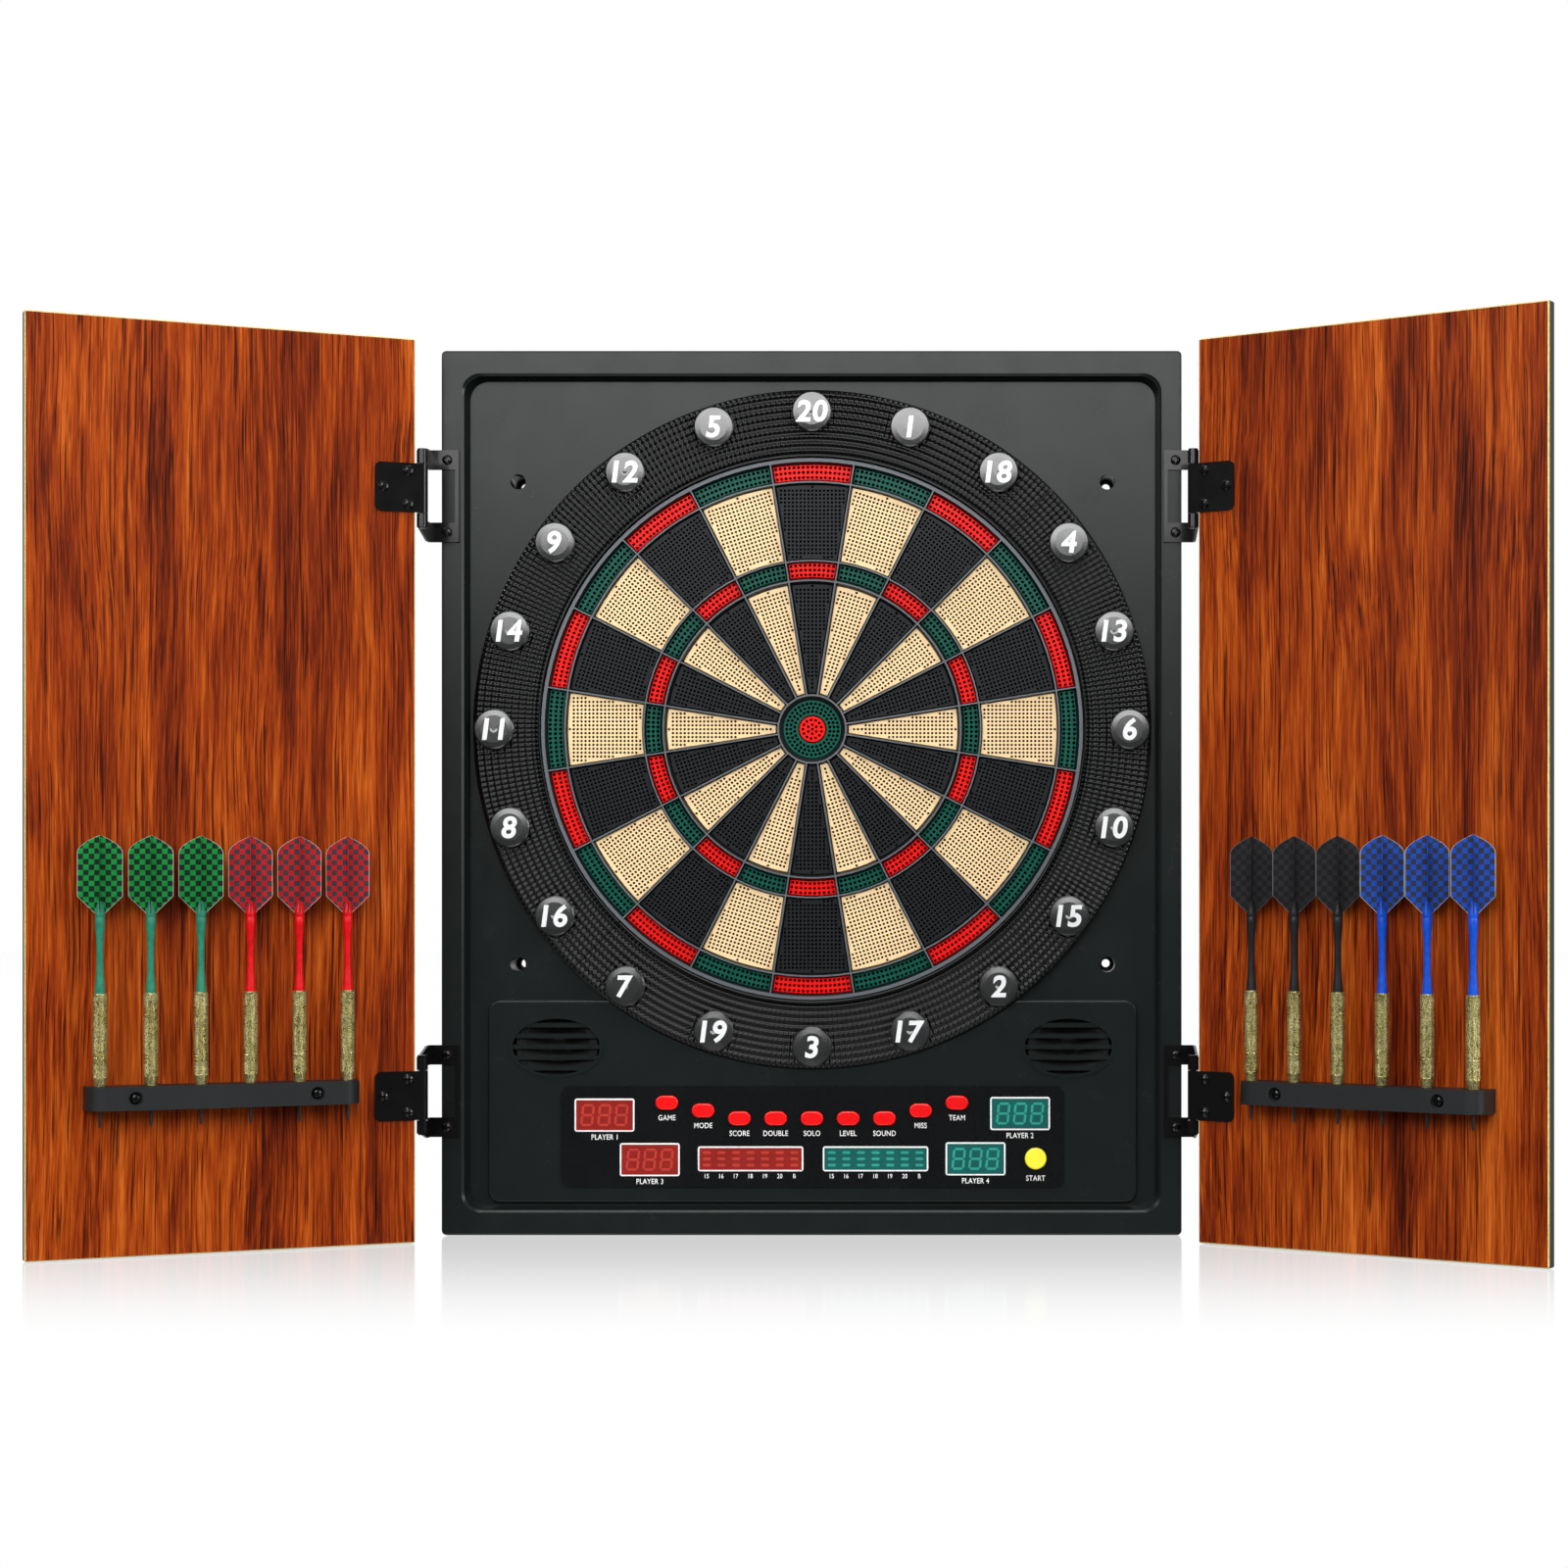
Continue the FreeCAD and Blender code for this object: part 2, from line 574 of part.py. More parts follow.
def circuit_board():
    """Board, display modules on its front, chips and the sheet's socket on its back."""
    board = slab(-BOARD_X, BOARD_X, BOARD_Z[0], BOARD_Z[1], 2.0, *BOARD_Y)
    solids = [board.cut([disc(1.3, -30, -24, x, z) for x, z in board_screw_points()])]
    for window in RED_WINDOWS + GREEN_WINDOWS:
        x0, x1, z0, z1 = window_bounds(window, -0.2)
        solids.append(block(x0, x1, WINDOW_Y[1], BOARD_Y[0], z0, z1))
    back = BOARD_Y[1]
    solids.append(block(-22, 22, back, SHEET_Y[0], -243, -236))
    chips = ((-60, -266, 22, 10), (0, -272, 14, 14), (62, -266, 22, 10), (-118, -280, 12, 9))
    for x, z, width, height in chips:
        solids.append(block(x - width / 2, x + width / 2, back, back + 2.2, z - height / 2, z + height / 2))
    solids.append(Part.makeCylinder(4.0, 11, Vector(112, back, -283), Y_AXIS))
    return solids


def speakers():
    """Round drivers behind the grilles: steel basket with magnet, and a paper cone."""
    basket = lathe([(0, 19.5), (14, 19.5), (14, 12), (8, 12), (16, 9), (24, 2), (26, 2), (26, 0), (22.5, 0),
                    (22.5, 1.6), (9, 9), (0, 9)])
    cone = lathe([(0, 8.9), (8.8, 8.9), (22.4, 1.5), (22.4, 0.7), (21, 0.7), (8, 7.2), (5.5, 7.9), (3, 7.2),
                  (0, 6.6)])
    solids = []
    for side in (-1, 1):
        for shape in (basket, cone):
            solids.append(facing_back(shape, side * SPEAKER_AT[0], STEP_BACK, SPEAKER_AT[1]))
    return solids


def dc_jack():
    """Low-voltage inlet in the underside of the case."""
    x, y = JACK_AT
    inside = CASE_BOTTOM + WALL
    body = block(x - 5, x + 5, y - 5, y + 5, inside, inside + 13)
    collar = Part.makeCylinder(4.4, WALL, Vector(x, y, CASE_BOTTOM), Z_AXIS)
    bore = Part.makeCylinder(JACK_R, 12, Vector(x, y, CASE_BOTTOM - 1), Z_AXIS)
    pin = Part.makeCylinder(1.0, 10.5, Vector(x, y, CASE_BOTTOM + 1.5), Z_AXIS)
    return body.fuse(collar).cut(bore).fuse(pin).removeSplitter()


def inner_screws():
    rear = flush_screw(1.5, 15.0, 3.2)
    solids = [facing_back(rear, x, 0, z) for x, z in case_boss_points()]
    target = screw(1.5, 13.0, 3.2, 2.0)
    solids += [facing_back(target, x, BACKING_Y[1], z) for x, z in target_screw_points()]
    small = screw(1.2, 6.5, 2.5, 1.6)
    solids += [facing_back(small, x, BOARD_Y[1], z) for x, z in board_screw_points()]
    return solids


# hinges
def bracket(z_mid):
    """Pressed bracket on the right rim: two feet, a joining strip, two forward arms with knuckles."""
    arm_x = PIN_X + KNUCKLE_R - STEEL
    foot_top = HINGE_HALF
    foot_low = HINGE_HALF - FOOT_H
    strip = block(FOOT_IN, FOOT_IN + 2.4, CASE_FRONT - 2.4, CASE_FRONT, -HINGE_HALF, HINGE_HALF)
    pieces = [strip]
    for side in (-1, 1):
        low, high = sorted((side * foot_low, side * foot_top))
        pieces.append(block(FOOT_IN, arm_x + STEEL, CASE_FRONT - STEEL, CASE_FRONT, low, high))
        outline = [(CASE_FRONT, foot_low), (CASE_FRONT, foot_top), (CASE_FRONT - 9.0, foot_top),
                   (PIN_Y + 4.0, KNUCKLE_TOP), (PIN_Y, KNUCKLE_TOP), (PIN_Y, foot_low)]
        points = [Vector(arm_x, y, side * z) for y, z in outline]
        pieces.append(Part.Face(Part.makePolygon(points + [points[0]])).extrude(Vector(STEEL, 0, 0)))
        low, high = sorted((side * (LEAF_HALF + 0.4), side * KNUCKLE_TOP))
        pieces.append(Part.makeCylinder(KNUCKLE_R, high - low, Vector(PIN_X, PIN_Y, low), Z_AXIS))
    body = pieces[0].fuse(pieces[1:]).removeSplitter()
    body = body.cut(Part.makeCylinder(ARM_BORE, 80, Vector(PIN_X, PIN_Y, -40), Z_AXIS))
    reach = HINGE_HALF - FOOT_H / 2.0
    body = body.cut([disc(1.6, CASE_FRONT - 3, CASE_FRONT + 1, 232.0, side * reach) for side in (-1, 1)])
    body.translate(Vector(0, 0, z_mid))
    return body


def hinge_pin(z_mid):
    half = KNUCKLE_TOP + 0.05
    pin = Part.makeCylinder(PIN_R, 2 * half, Vector(PIN_X, PIN_Y, z_mid - half), Z_AXIS)
    head = Part.makeCylinder(3.0, 1.0, Vector(PIN_X, PIN_Y, z_mid + half), Z_AXIS)
    foot = Part.makeCylinder(2.6, 0.8, Vector(PIN_X, PIN_Y, z_mid - half - 0.8), Z_AXIS)
    return pin.fuse([head, foot]).removeSplitter()


def leaf_screw_points(z_mid):
    return [(x, z_mid + z) for x, z in LEAF_SCREWS]


def leaf(z_mid):
    """Door plate of a hinge with the middle knuckle, on a closed right door."""
    plate = slab(LEAF_IN, PIN_X, z_mid - LEAF_HALF, z_mid + LEAF_HALF, 4.0, DOOR_BACK, DOOR_BACK + LEAF_T)
    root = block(PIN_X - 8, PIN_X, DOOR_BACK, DOOR_BACK + LEAF_T, z_mid - LEAF_HALF, z_mid + LEAF_HALF)
    knuckle = Part.makeCylinder(KNUCKLE_R, 2 * LEAF_HALF, Vector(PIN_X, PIN_Y, z_mid - LEAF_HALF), Z_AXIS)
    body = plate.fuse([root, knuckle]).removeSplitter()
    bore = Part.makeCylinder(KNUCKLE_BORE, 80, Vector(PIN_X, PIN_Y, z_mid - 40), Z_AXIS)
    holes = [disc(1.6, DOOR_BACK - 1, DOOR_BACK + 2, x, z) for x, z in leaf_screw_points(z_mid)]
    return body.cut([bore] + holes)


def bracket_screws():
    one = screw(1.5, 9.0, 3.2, 1.9)
    return both_sides([facing_front(one, x, CASE_FRONT - STEEL, z) for x, z in bracket_screw_points()])


# doors, drawn closed on the right
def door_screw_holes():
    points = [point for z in HINGE_Z for point in leaf_screw_points(z)]
    holes = [disc(1.5, DOOR_BACK - 6.5, DOOR_BACK + 1, x, z) for x, z in points]
    middle = sum(HOLDER_Z) / 2.0
    for side in (-1, 1):
        holes.append(disc(1.5, DOOR_BACK - 6.5, DOOR_BACK + 1, HOLDER_X + side * HOLDER_SCREW, middle))
    return holes


def door_panel():
    panel = block(*DOOR_X, DOOR_BACK - DOOR_T, DOOR_BACK, CASE_BOTTOM, CASE_TOP)
    panel = panel.makeChamfer(0.8, panel.Edges)
    return panel.cut(door_screw_holes())


def door_screws():
    short = screw(1.45, 7.0, 3.3, 1.9)
    points = [point for z in HINGE_Z for point in leaf_screw_points(z)]
    solids = [facing_back(short, x, DOOR_BACK + LEAF_T, z) for x, z in points]
    long = screw(1.45, HOLDER_DEPTH - 2.5 + 6.0, 3.3, 1.9)
    middle = sum(HOLDER_Z) / 2.0
    seat = DOOR_BACK + HOLDER_DEPTH - 2.5
    solids += [facing_back(long, HOLDER_X + side * HOLDER_SCREW, seat, middle) for side in (-1, 1)]
    return solids


def dart_points():
    return [(HOLDER_X + DART_PITCH * (k - 2.5), DOOR_BACK + DART_OUT) for k in range(6)]


def dart_holder():
    """Moulded bar with six holes; rounded front corners and hollows underneath."""
    x0, x1 = HOLDER_X - HOLDER_HALF, HOLDER_X + HOLDER_HALF
    y1 = DOOR_BACK + HOLDER_DEPTH
    body = block(x0, x1, DOOR_BACK, y1, *HOLDER_Z)
    front = [edge for edge in body.Edges if edge.BoundBox.ZLength > 10 and edge.BoundBox.YMin > DOOR_BACK + 1]
    body = body.makeFillet(10.0, front)
    middle = sum(HOLDER_Z) / 2.0
    cutters = [Part.makeCylinder(HOLDER_HOLE_R, 20, Vector(x, y, HOLDER_Z[0] - 1), Z_AXIS)
               for x, y in dart_points()]
    for side in (-1, 1):
        x = HOLDER_X + side * HOLDER_SCREW
        cutters.append(disc(1.7, DOOR_BACK - 1, y1 + 1, x, middle))
        cutters.append(disc(4.2, y1 - 2.5, y1 + 1, x, middle))
    for k in (-1, 0, 1):
        x = HOLDER_X + k * DART_PITCH
        cutters.append(block(x - 10, x + 10, DOOR_BACK + 2.2, y1 - 2.2, HOLDER_Z[0] - 1, HOLDER_Z[1] - 2.2))
    return body.cut(cutters)


def flight_outline():
    shoulder = FLIGHT_HALF - 3.0
    corner = Part.Arc(Vector(FLIGHT_HALF, 0, FLIGHT_LEN - 10.5),
                      Vector(FLIGHT_HALF - 0.8, 0, FLIGHT_LEN - 7.4),
                      Vector(shoulder, 0, FLIGHT_LEN - 5.2))
    right = [Part.LineSegment(Vector(0, 0, 0), Vector(3.0, 0, 0)),
             Part.LineSegment(Vector(3.0, 0, 0), Vector(FLIGHT_HALF, 0, 10.0)),
             Part.LineSegment(Vector(FLIGHT_HALF, 0, 10.0), Vector(FLIGHT_HALF, 0, FLIGHT_LEN - 10.5)),
             corner,
             Part.LineSegment(Vector(shoulder, 0, FLIGHT_LEN - 5.2), Vector(0, 0, FLIGHT_LEN)),
             Part.LineSegment(Vector(0, 0, FLIGHT_LEN), Vector(0, 0, 0))]
    return Part.Face(Part.Wire([edge.toShape() for edge in right]))


def flight():
    """Four thin wings that meet on the dart's axis."""
    wing = flight_outline().extrude(Vector(0, FLIGHT_T, 0))
    wing.translate(Vector(0, -FLIGHT_T / 2.0, 0))
    wings = []
    for k in range(4):
        copy = wing.copy()
        copy.rotate(ORIGIN, Z_AXIS, 90.0 * k)
        wings.append(copy)
    core = Part.makeBox(FLIGHT_T, FLIGHT_T, FLIGHT_LEN - 0.5, Vector(-FLIGHT_T / 2.0, -FLIGHT_T / 2.0, 0))
    return core.fuse(wings).removeSplitter()


def barrel_profile():
    """Radius and height up the barrel: tapered nose, then two bands of three grooves."""
    r = BARREL_R
    profile = [(0, 0), (3.3, 0), (3.8, 4.5), (r, 5.5)]
    for band_start in (13.5, 41.0):
        for k in range(3):
            z = band_start + 2.2 * k
            profile += [(r, z), (r - 0.5, z + 0.3), (r - 0.5, z + 0.9), (r, z + 1.2)]
    return profile + [(r, BARREL_LEN - 0.4), (r - 0.4, BARREL_LEN), (0, BARREL_LEN)]


def dart():
    """One soft-tip dart, point down, its barrel starting at z = 0."""
    tip = lathe([(0, -TIP_LEN), (0.5, -TIP_LEN), (TIP_R, -TIP_LEN + 6), (TIP_R, 0), (TIP_R, 7), (0, 7)])
    barrel = lathe(barrel_profile())
    barrel = barrel.cut(Part.makeCylinder(TIP_R, 8, Vector(0, 0, -1), Z_AXIS))
    barrel = barrel.cut(Part.makeCylinder(1.6, 9, Vector(0, 0, BARREL_LEN - 8), Z_AXIS))
    top = BARREL_LEN + SHAFT_LEN
    wings = flight()
    wings.translate(Vector(0, 0, top))
    shaft = lathe([(0, BARREL_LEN - 8), (1.6, BARREL_LEN - 8), (1.6, BARREL_LEN), (3.1, BARREL_LEN),
                   (3.0, BARREL_LEN + 4), (2.1, BARREL_LEN + 14), (2.1, BARREL_LEN + 30), (2.9, top - 8),
                   (3.0, top), (1.4, top + 6.5), (0, top + 7.5)]).cut(wings)
    return [tip, barrel, shaft, wings]


def darts(wing_turn):
    """Six darts in a closed right door's holder, each turned about its own axis by wing_turn."""
    height = HOLDER_Z[0] - DART_TIP_BELOW + TIP_LEN
    placed = []
    for x, y in reversed(dart_points()):
        solids = [shape.copy() for shape in dart()]
        for shape in solids:
            shape.rotate(ORIGIN, Z_AXIS, wing_turn)
            shape.translate(Vector(x, y, height))
        placed.append(solids)
    return placed


def opened_right(solids):
    moved = [shape.copy() for shape in solids]
    for shape in moved:
        shape.rotate(Vector(PIN_X, PIN_Y, 0), Z_AXIS, RIGHT_OPEN)
    return moved


def opened_left(solids):
    moved = [mirrored(shape) for shape in solids]
    for shape in moved:
        shape.rotate(Vector(-PIN_X, PIN_Y, 0), Z_AXIS, -LEFT_OPEN)
    return moved


# write the nodes
export("front_shell", [front_shell()])
export("rear_shell", [rear_shell()])
export("spider", [spider()])
export("catch_ring", catch_ring())
export("number_discs", number_discs())
export("rubber_mat", [rubber_mat()])
export("sensor_sheet", [sensor_sheet()])
export("backing_plate", [backing_plate()])
export("control_plate", [control_plate()])
export("windows_red", windows(RED_WINDOWS))
export("windows_green", windows(GREEN_WINDOWS))
export("keypad", keypad())
export("circuit_board", circuit_board())
export("speakers", speakers())
export("dc_jack", [dc_jack()])
export("inner_screws", inner_screws())
export("hinge_brackets", both_sides([bracket(z) for z in HINGE_Z]))
export("hinge_pins", both_sides([hinge_pin(z) for z in HINGE_Z]))
export("bracket_screws", bracket_screws())

for ring_name, ring_band, even_colour, odd_colour in (
        ("inner_singles", SINGLE_IN, "black", "cream"), ("triples", TRIPLE, "red", "green"),
        ("outer_singles", SINGLE_OUT, "black", "cream"), ("doubles", DOUBLE, "red", "green")):
    export(ring_name + "_" + even_colour, ring_segments(ring_band, 0))
    export(ring_name + "_" + odd_colour, ring_segments(ring_band, 1))
export("bull_outer", [bull_outer()])
export("bull_inner", [bull_inner()])

for button_name, (button_x, button_z) in zip(BUTTON_NAMES, button_points()):
    export("button_" + button_name, [oval_button(button_x, button_z)])
export("button_start", [start_button()])

for side_name, opened, wing_turn in (("left", opened_left, LEFT_WING_TURN),
                                     ("right", opened_right, RIGHT_WING_TURN)):
    export("door_" + side_name, opened([door_panel()]))
    export("hinge_leaves_" + side_name, opened([leaf(z) for z in HINGE_Z]))
    export("dart_holder_" + side_name, opened([dart_holder()]))
    export("door_screws_" + side_name, opened(door_screws()))
    for dart_number, dart_solids in enumerate(darts(wing_turn), start=1):
        export("dart_" + side_name + "_" + str(dart_number), opened(dart_solids))
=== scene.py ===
"""Electronic dartboard: looks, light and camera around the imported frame.

The frame is +Z up, front towards -Y, rear face at y = 0, origin on the bull's axis.
Lengths in this file are millimetres; MM turns them into Blender's metres.
"""
import json
import math

import bpy
from mathutils import Matrix, Vector
from mathutils.geometry import delaunay_2d_cdt


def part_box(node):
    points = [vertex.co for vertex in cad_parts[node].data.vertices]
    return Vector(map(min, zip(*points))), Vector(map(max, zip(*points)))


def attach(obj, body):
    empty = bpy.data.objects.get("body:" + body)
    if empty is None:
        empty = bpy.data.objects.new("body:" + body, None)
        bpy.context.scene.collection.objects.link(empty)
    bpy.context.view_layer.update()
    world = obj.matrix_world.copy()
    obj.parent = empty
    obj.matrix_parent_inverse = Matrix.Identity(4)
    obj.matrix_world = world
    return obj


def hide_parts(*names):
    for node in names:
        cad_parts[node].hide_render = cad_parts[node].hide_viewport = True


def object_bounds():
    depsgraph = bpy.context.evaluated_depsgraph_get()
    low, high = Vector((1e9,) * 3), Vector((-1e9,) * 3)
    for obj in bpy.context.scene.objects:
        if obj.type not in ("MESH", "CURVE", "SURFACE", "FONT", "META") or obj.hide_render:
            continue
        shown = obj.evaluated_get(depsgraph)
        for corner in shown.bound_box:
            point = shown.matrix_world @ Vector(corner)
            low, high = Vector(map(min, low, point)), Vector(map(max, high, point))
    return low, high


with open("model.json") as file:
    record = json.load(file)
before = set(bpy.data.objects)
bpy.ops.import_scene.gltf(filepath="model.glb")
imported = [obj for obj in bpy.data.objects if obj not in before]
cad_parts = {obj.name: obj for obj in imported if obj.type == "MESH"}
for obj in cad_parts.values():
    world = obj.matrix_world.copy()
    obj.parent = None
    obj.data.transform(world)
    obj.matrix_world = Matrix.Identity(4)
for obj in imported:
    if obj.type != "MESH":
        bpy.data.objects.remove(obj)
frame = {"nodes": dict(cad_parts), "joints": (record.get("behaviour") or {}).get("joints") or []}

MM = 0.001
CAD_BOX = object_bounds()
NODES = frame["nodes"]
JOINTS = {joint["name"]: joint for joint in frame["joints"]}

# target, as in the frame: ring radii and depths
SECTORS = 20
SECTOR = math.tau / SECTORS
WEDGE_GAP = 2.6
BANDS = {
    "inner_singles": (23.3, 93.0),
    "triples": (97.3, 106.5),
    "outer_singles": (109.0, 156.5),
    "doubles": (159.6, 169.3),
}
BULL_IN_R = 8.3
BULL_BORE_TAPER = 1.2
BULL_PEG_TAPER = 0.8
BULL_OUT = (9.0, 18.6)
BULL_IN_ROWS = (2.9, 6.0)
BULL_OUT_ROWS = (11.4, 13.9, 16.4)
SEG_FRONT = -37.0
SEG_FLANGE = (-27.2, -25.7)
SEG_LIP = 0.9
EDGE = 0.3
SINGLE_PITCH = 2.5
BAND_PITCH = 2.75
HOLE_SIDES = 8
HOLE_DEPTH = 4.0

# catch ring
RING_R = (173.9, 217.0)
RING_FRONT = -40.5
RING_FLOOR = -33.0
RING_ROWS = 9
RING_COLUMNS = 384
BEAD_SPLIT = 4
BEAD_HEIGHT = 2.2

# numbers round the board, clockwise from the top
NUMBERS = (20, 1, 18, 4, 13, 6, 10, 15, 2, 17, 3, 19, 7, 16, 8, 11, 14, 9, 12, 5)
DISC_AT = 203.0
NUMBER_HEIGHT = 13.2

# darts, measured up from the start of the barrel
BARREL_LEN = 55.3
BARREL_R = 4.25
GROOVE_BANDS = (13.5, 41.0)
GROOVE_PITCH = 2.2
GROOVE_HALF = 0.36
GROOVE_DEPTH = 0.4
SHAFT_LEN = 47.7
TIP_LEN = 24.2
TIP_R = 1.1
FLIGHT_LEN = 46.3
FLIGHT_HALF = 13.0
CHECKER = 3.2
WING_ANGLES = {"left": 14.0, "right": -6.5}
KNURL_COLUMNS = 44
KNURL_STEP = 0.6
KNURL_DEPTH = 0.28

# studio: how dim the world is in front, where its white half starts, and the floor's reflection
WORLD_DIM = 0.10
WORLD_SPLIT = (-0.05, 0.15)
FLOOR_DIM = 0.12
FLOOR_FADE = (-0.50, -0.05)
FLOOR_MIRROR = 0.38


# colours from 0..255 screen values
def colour(red, green, blue):
    def linear(value):
        value /= 255.0
        return value / 12.92 if value <= 0.04045 else ((value + 0.055) / 1.055) ** 2.4

    return (linear(red), linear(green), linear(blue), 1.0)


# material building
def new_material(name, base, roughness, metallic=0.0, specular=0.5, coat=0.0, coat_roughness=0.1):
    material = bpy.data.materials.new(name)
    material.use_nodes = True
    shader = material.node_tree.nodes["Principled BSDF"]
    shader.inputs["Base Color"].default_value = base
    shader.inputs["Roughness"].default_value = roughness
    shader.inputs["Metallic"].default_value = metallic
    shader.inputs["Specular IOR Level"].default_value = specular
    shader.inputs["Coat Weight"].default_value = coat
    shader.inputs["Coat Roughness"].default_value = coat_roughness
    return material


def add_node(material, kind, settings=(), inputs=()):
    made = material.node_tree.nodes.new(kind)
    for name, value in dict(settings).items():
        setattr(made, name, value)
    for name, value in dict(inputs).items():
        if isinstance(value, bpy.types.NodeSocket):
            material.node_tree.links.new(value, made.inputs[name])
        else:
            made.inputs[name].default_value = value
    return made


def connect(material, output, input_name):
    shader = material.node_tree.nodes["Principled BSDF"]
    material.node_tree.links.new(output, shader.inputs[input_name])


def place(material, scale=(1.0, 1.0, 1.0), uv=False):
    """Texture coordinates in metres at rest, or the piece's own UV."""
    source = add_node(material, "ShaderNodeTexCoord").outputs["UV" if uv else "Object"]
    mapping = add_node(material, "ShaderNodeMapping", inputs={"Vector": source, "Scale": scale})
    return mapping.outputs["Vector"]


def noise(material, vector, scale, detail=3.0, roughness=0.5, distortion=0.0):
    made = add_node(material, "ShaderNodeTexNoise", inputs={
        "Vector": vector, "Scale": scale, "Detail": detail, "Roughness": roughness,
        "Distortion": distortion})
    return made.outputs["Fac"]


def ramp(material, value, stops):
    made = add_node(material, "ShaderNodeValToRGB", inputs={"Fac": value})
    band = made.color_ramp
    while len(band.elements) < len(stops):
        band.elements.new(0.5)
    for element, (position, shade) in zip(band.elements, stops):
        element.position = position
        element.color = shade
    return made.outputs["Color"]


def remap(material, value, low, high):
    made = add_node(material, "ShaderNodeMapRange", inputs={"Value": value, "To Min": low, "To Max": high})
    return made.outputs["Result"]


def math_node(material, operation, first, second=0.0):
    made = add_node(material, "ShaderNodeMath", {"operation": operation})
    for socket, value in zip(made.inputs, (first, second)):
        if isinstance(value, bpy.types.NodeSocket):
            material.node_tree.links.new(value, socket)
        else:
            socket.default_value = value
    return made.outputs["Value"]


def mix_colours(material, factor, first, second, blend="MIX"):
    made = add_node(material, "ShaderNodeMix", {"data_type": "RGBA", "blend_type": blend})
    sockets = (made.inputs["Factor"], made.inputs[6], made.inputs[7])
    for socket, value in zip(sockets, (factor, first, second)):
        if isinstance(value, bpy.types.NodeSocket):
            material.node_tree.links.new(value, socket)
        else:
            socket.default_value = value
    return made.outputs[2]


def add_bump(material, height, strength, distance):
    made = add_node(material, "ShaderNodeBump", inputs={
        "Height": height, "Strength": strength, "Distance": distance})
    connect(material, made.outputs["Normal"], "Normal")


def moulded_plastic(name, base, roughness, grain=0.25, grain_scale=1400.0, variation=0.12, **finish):
    """Injection-moulded plastic: a fine grain, slightly uneven colour and gloss."""
    material = new_material(name, base, roughness, **finish)
    where = place(material)
    clouds = noise(material, where, 14.0, 4.0, 0.6)
    darker = tuple(c * (1.0 - variation) for c in base[:3]) + (1.0,)
    lighter = tuple(min(1.0, c * (1.0 + variation)) for c in base[:3]) + (1.0,)
    connect(material, ramp(material, clouds, [(0.3, darker), (0.7, lighter)]), "Base Color")
    smears = noise(material, where, 45.0, 5.0, 0.65, 0.4)
    connect(material, remap(material, smears, roughness - 0.07, roughness + 0.09), "Roughness")
    add_bump(material, noise(material, where, grain_scale, 2.0), grain, 0.0001)
    return material


def wood_laminate(name):
    """Cherry laminate: upright streaks, finer fibres and dark pores, under a satin lacquer."""
    material = new_material(name, colour(142, 50, 10), 0.42, specular=0.07)
    sway = noise(material, place(material, (1.0, 1.0, 0.35)), 9.0, 2.0)
    source = place(material)
    shifted = add_node(material, "ShaderNodeVectorMath", {"operation": "ADD"}, {0: source})
    offset = add_node(material, "ShaderNodeCombineXYZ", inputs={"X": remap(material, sway, -0.012, 0.012)})
    material.node_tree.links.new(offset.outputs["Vector"], shifted.inputs[1])

    def streaks(scale, stretch, detail, roughness, distortion=0.0):
        stretched = add_node(material, "ShaderNodeMapping", inputs={
            "Vector": shifted.outputs["Vector"], "Scale": (1.0, 1.0, stretch)}).outputs["Vector"]
        return noise(material, stretched, scale, detail, roughness, distortion)

    broad = streaks(30.0, 0.10, 4.0, 0.6, 0.6)
    narrow = streaks(420.0, 0.035, 5.0, 0.65, 0.3)
    fibres = streaks(1200.0, 0.03, 3.0, 0.65)
    figure = math_node(material, "ADD", math_node(material, "MULTIPLY", broad, 0.40),
                       math_node(material, "MULTIPLY", narrow, 0.36))
    figure = math_node(material, "ADD", figure, math_node(material, "MULTIPLY", fibres, 0.24))
    tone = ramp(material, figure, [
        (0.38, colour(62, 16, 2)), (0.45, colour(108, 34, 5)), (0.50, colour(140, 52, 8)),
        (0.55, colour(166, 72, 14)), (0.63, colour(204, 104, 34))])
    pores = ramp(material, streaks(800.0, 0.012, 2.0, 0.6), [
        (0.38, (0.16, 0.12, 0.10, 1.0)), (0.43, (1.0, 1.0, 1.0, 1.0))])
    connect(material, mix_colours(material, 0.85, tone, pores, "MULTIPLY"), "Base Color")
    connect(material, remap(material, fibres, 0.36, 0.52), "Roughness")
    add_bump(material, figure, 0.12, 0.0004)
    return material


def particle_board(name, dark, light):
    material = new_material(name, light, 0.7)
    chips = noise(material, place(material), 700.0, 4.0, 0.7)
    connect(material, ramp(material, chips, [(0.35, dark), (0.6, light)]), "Base Color")
    add_bump(material, chips, 0.3, 0.0002)
    return material


def brushed_metal(name, dark, light, smooth, rough, grime=1.0):
    """Bare metal whose colour and polish vary with handling, and grime in its finest pits."""
    material = new_material(name, light, rough, metallic=0.85)
    where = place(material)
    tarnish = noise(material, where, 120.0, 4.0, 0.6)
    tone = ramp(material, tarnish, [(0.3, dark), (0.65, light)])
    pits = ramp(material, noise(material, where, 1500.0, 1.0), [
        (0.40, (grime, grime, grime, 1.0)), (0.55, (1.0, 1.0, 1.0, 1.0))])
    connect(material, mix_colours(material, 1.0, tone, pits, "MULTIPLY"), "Base Color")
    connect(material, remap(material, tarnish, smooth, rough), "Roughness")
    return material


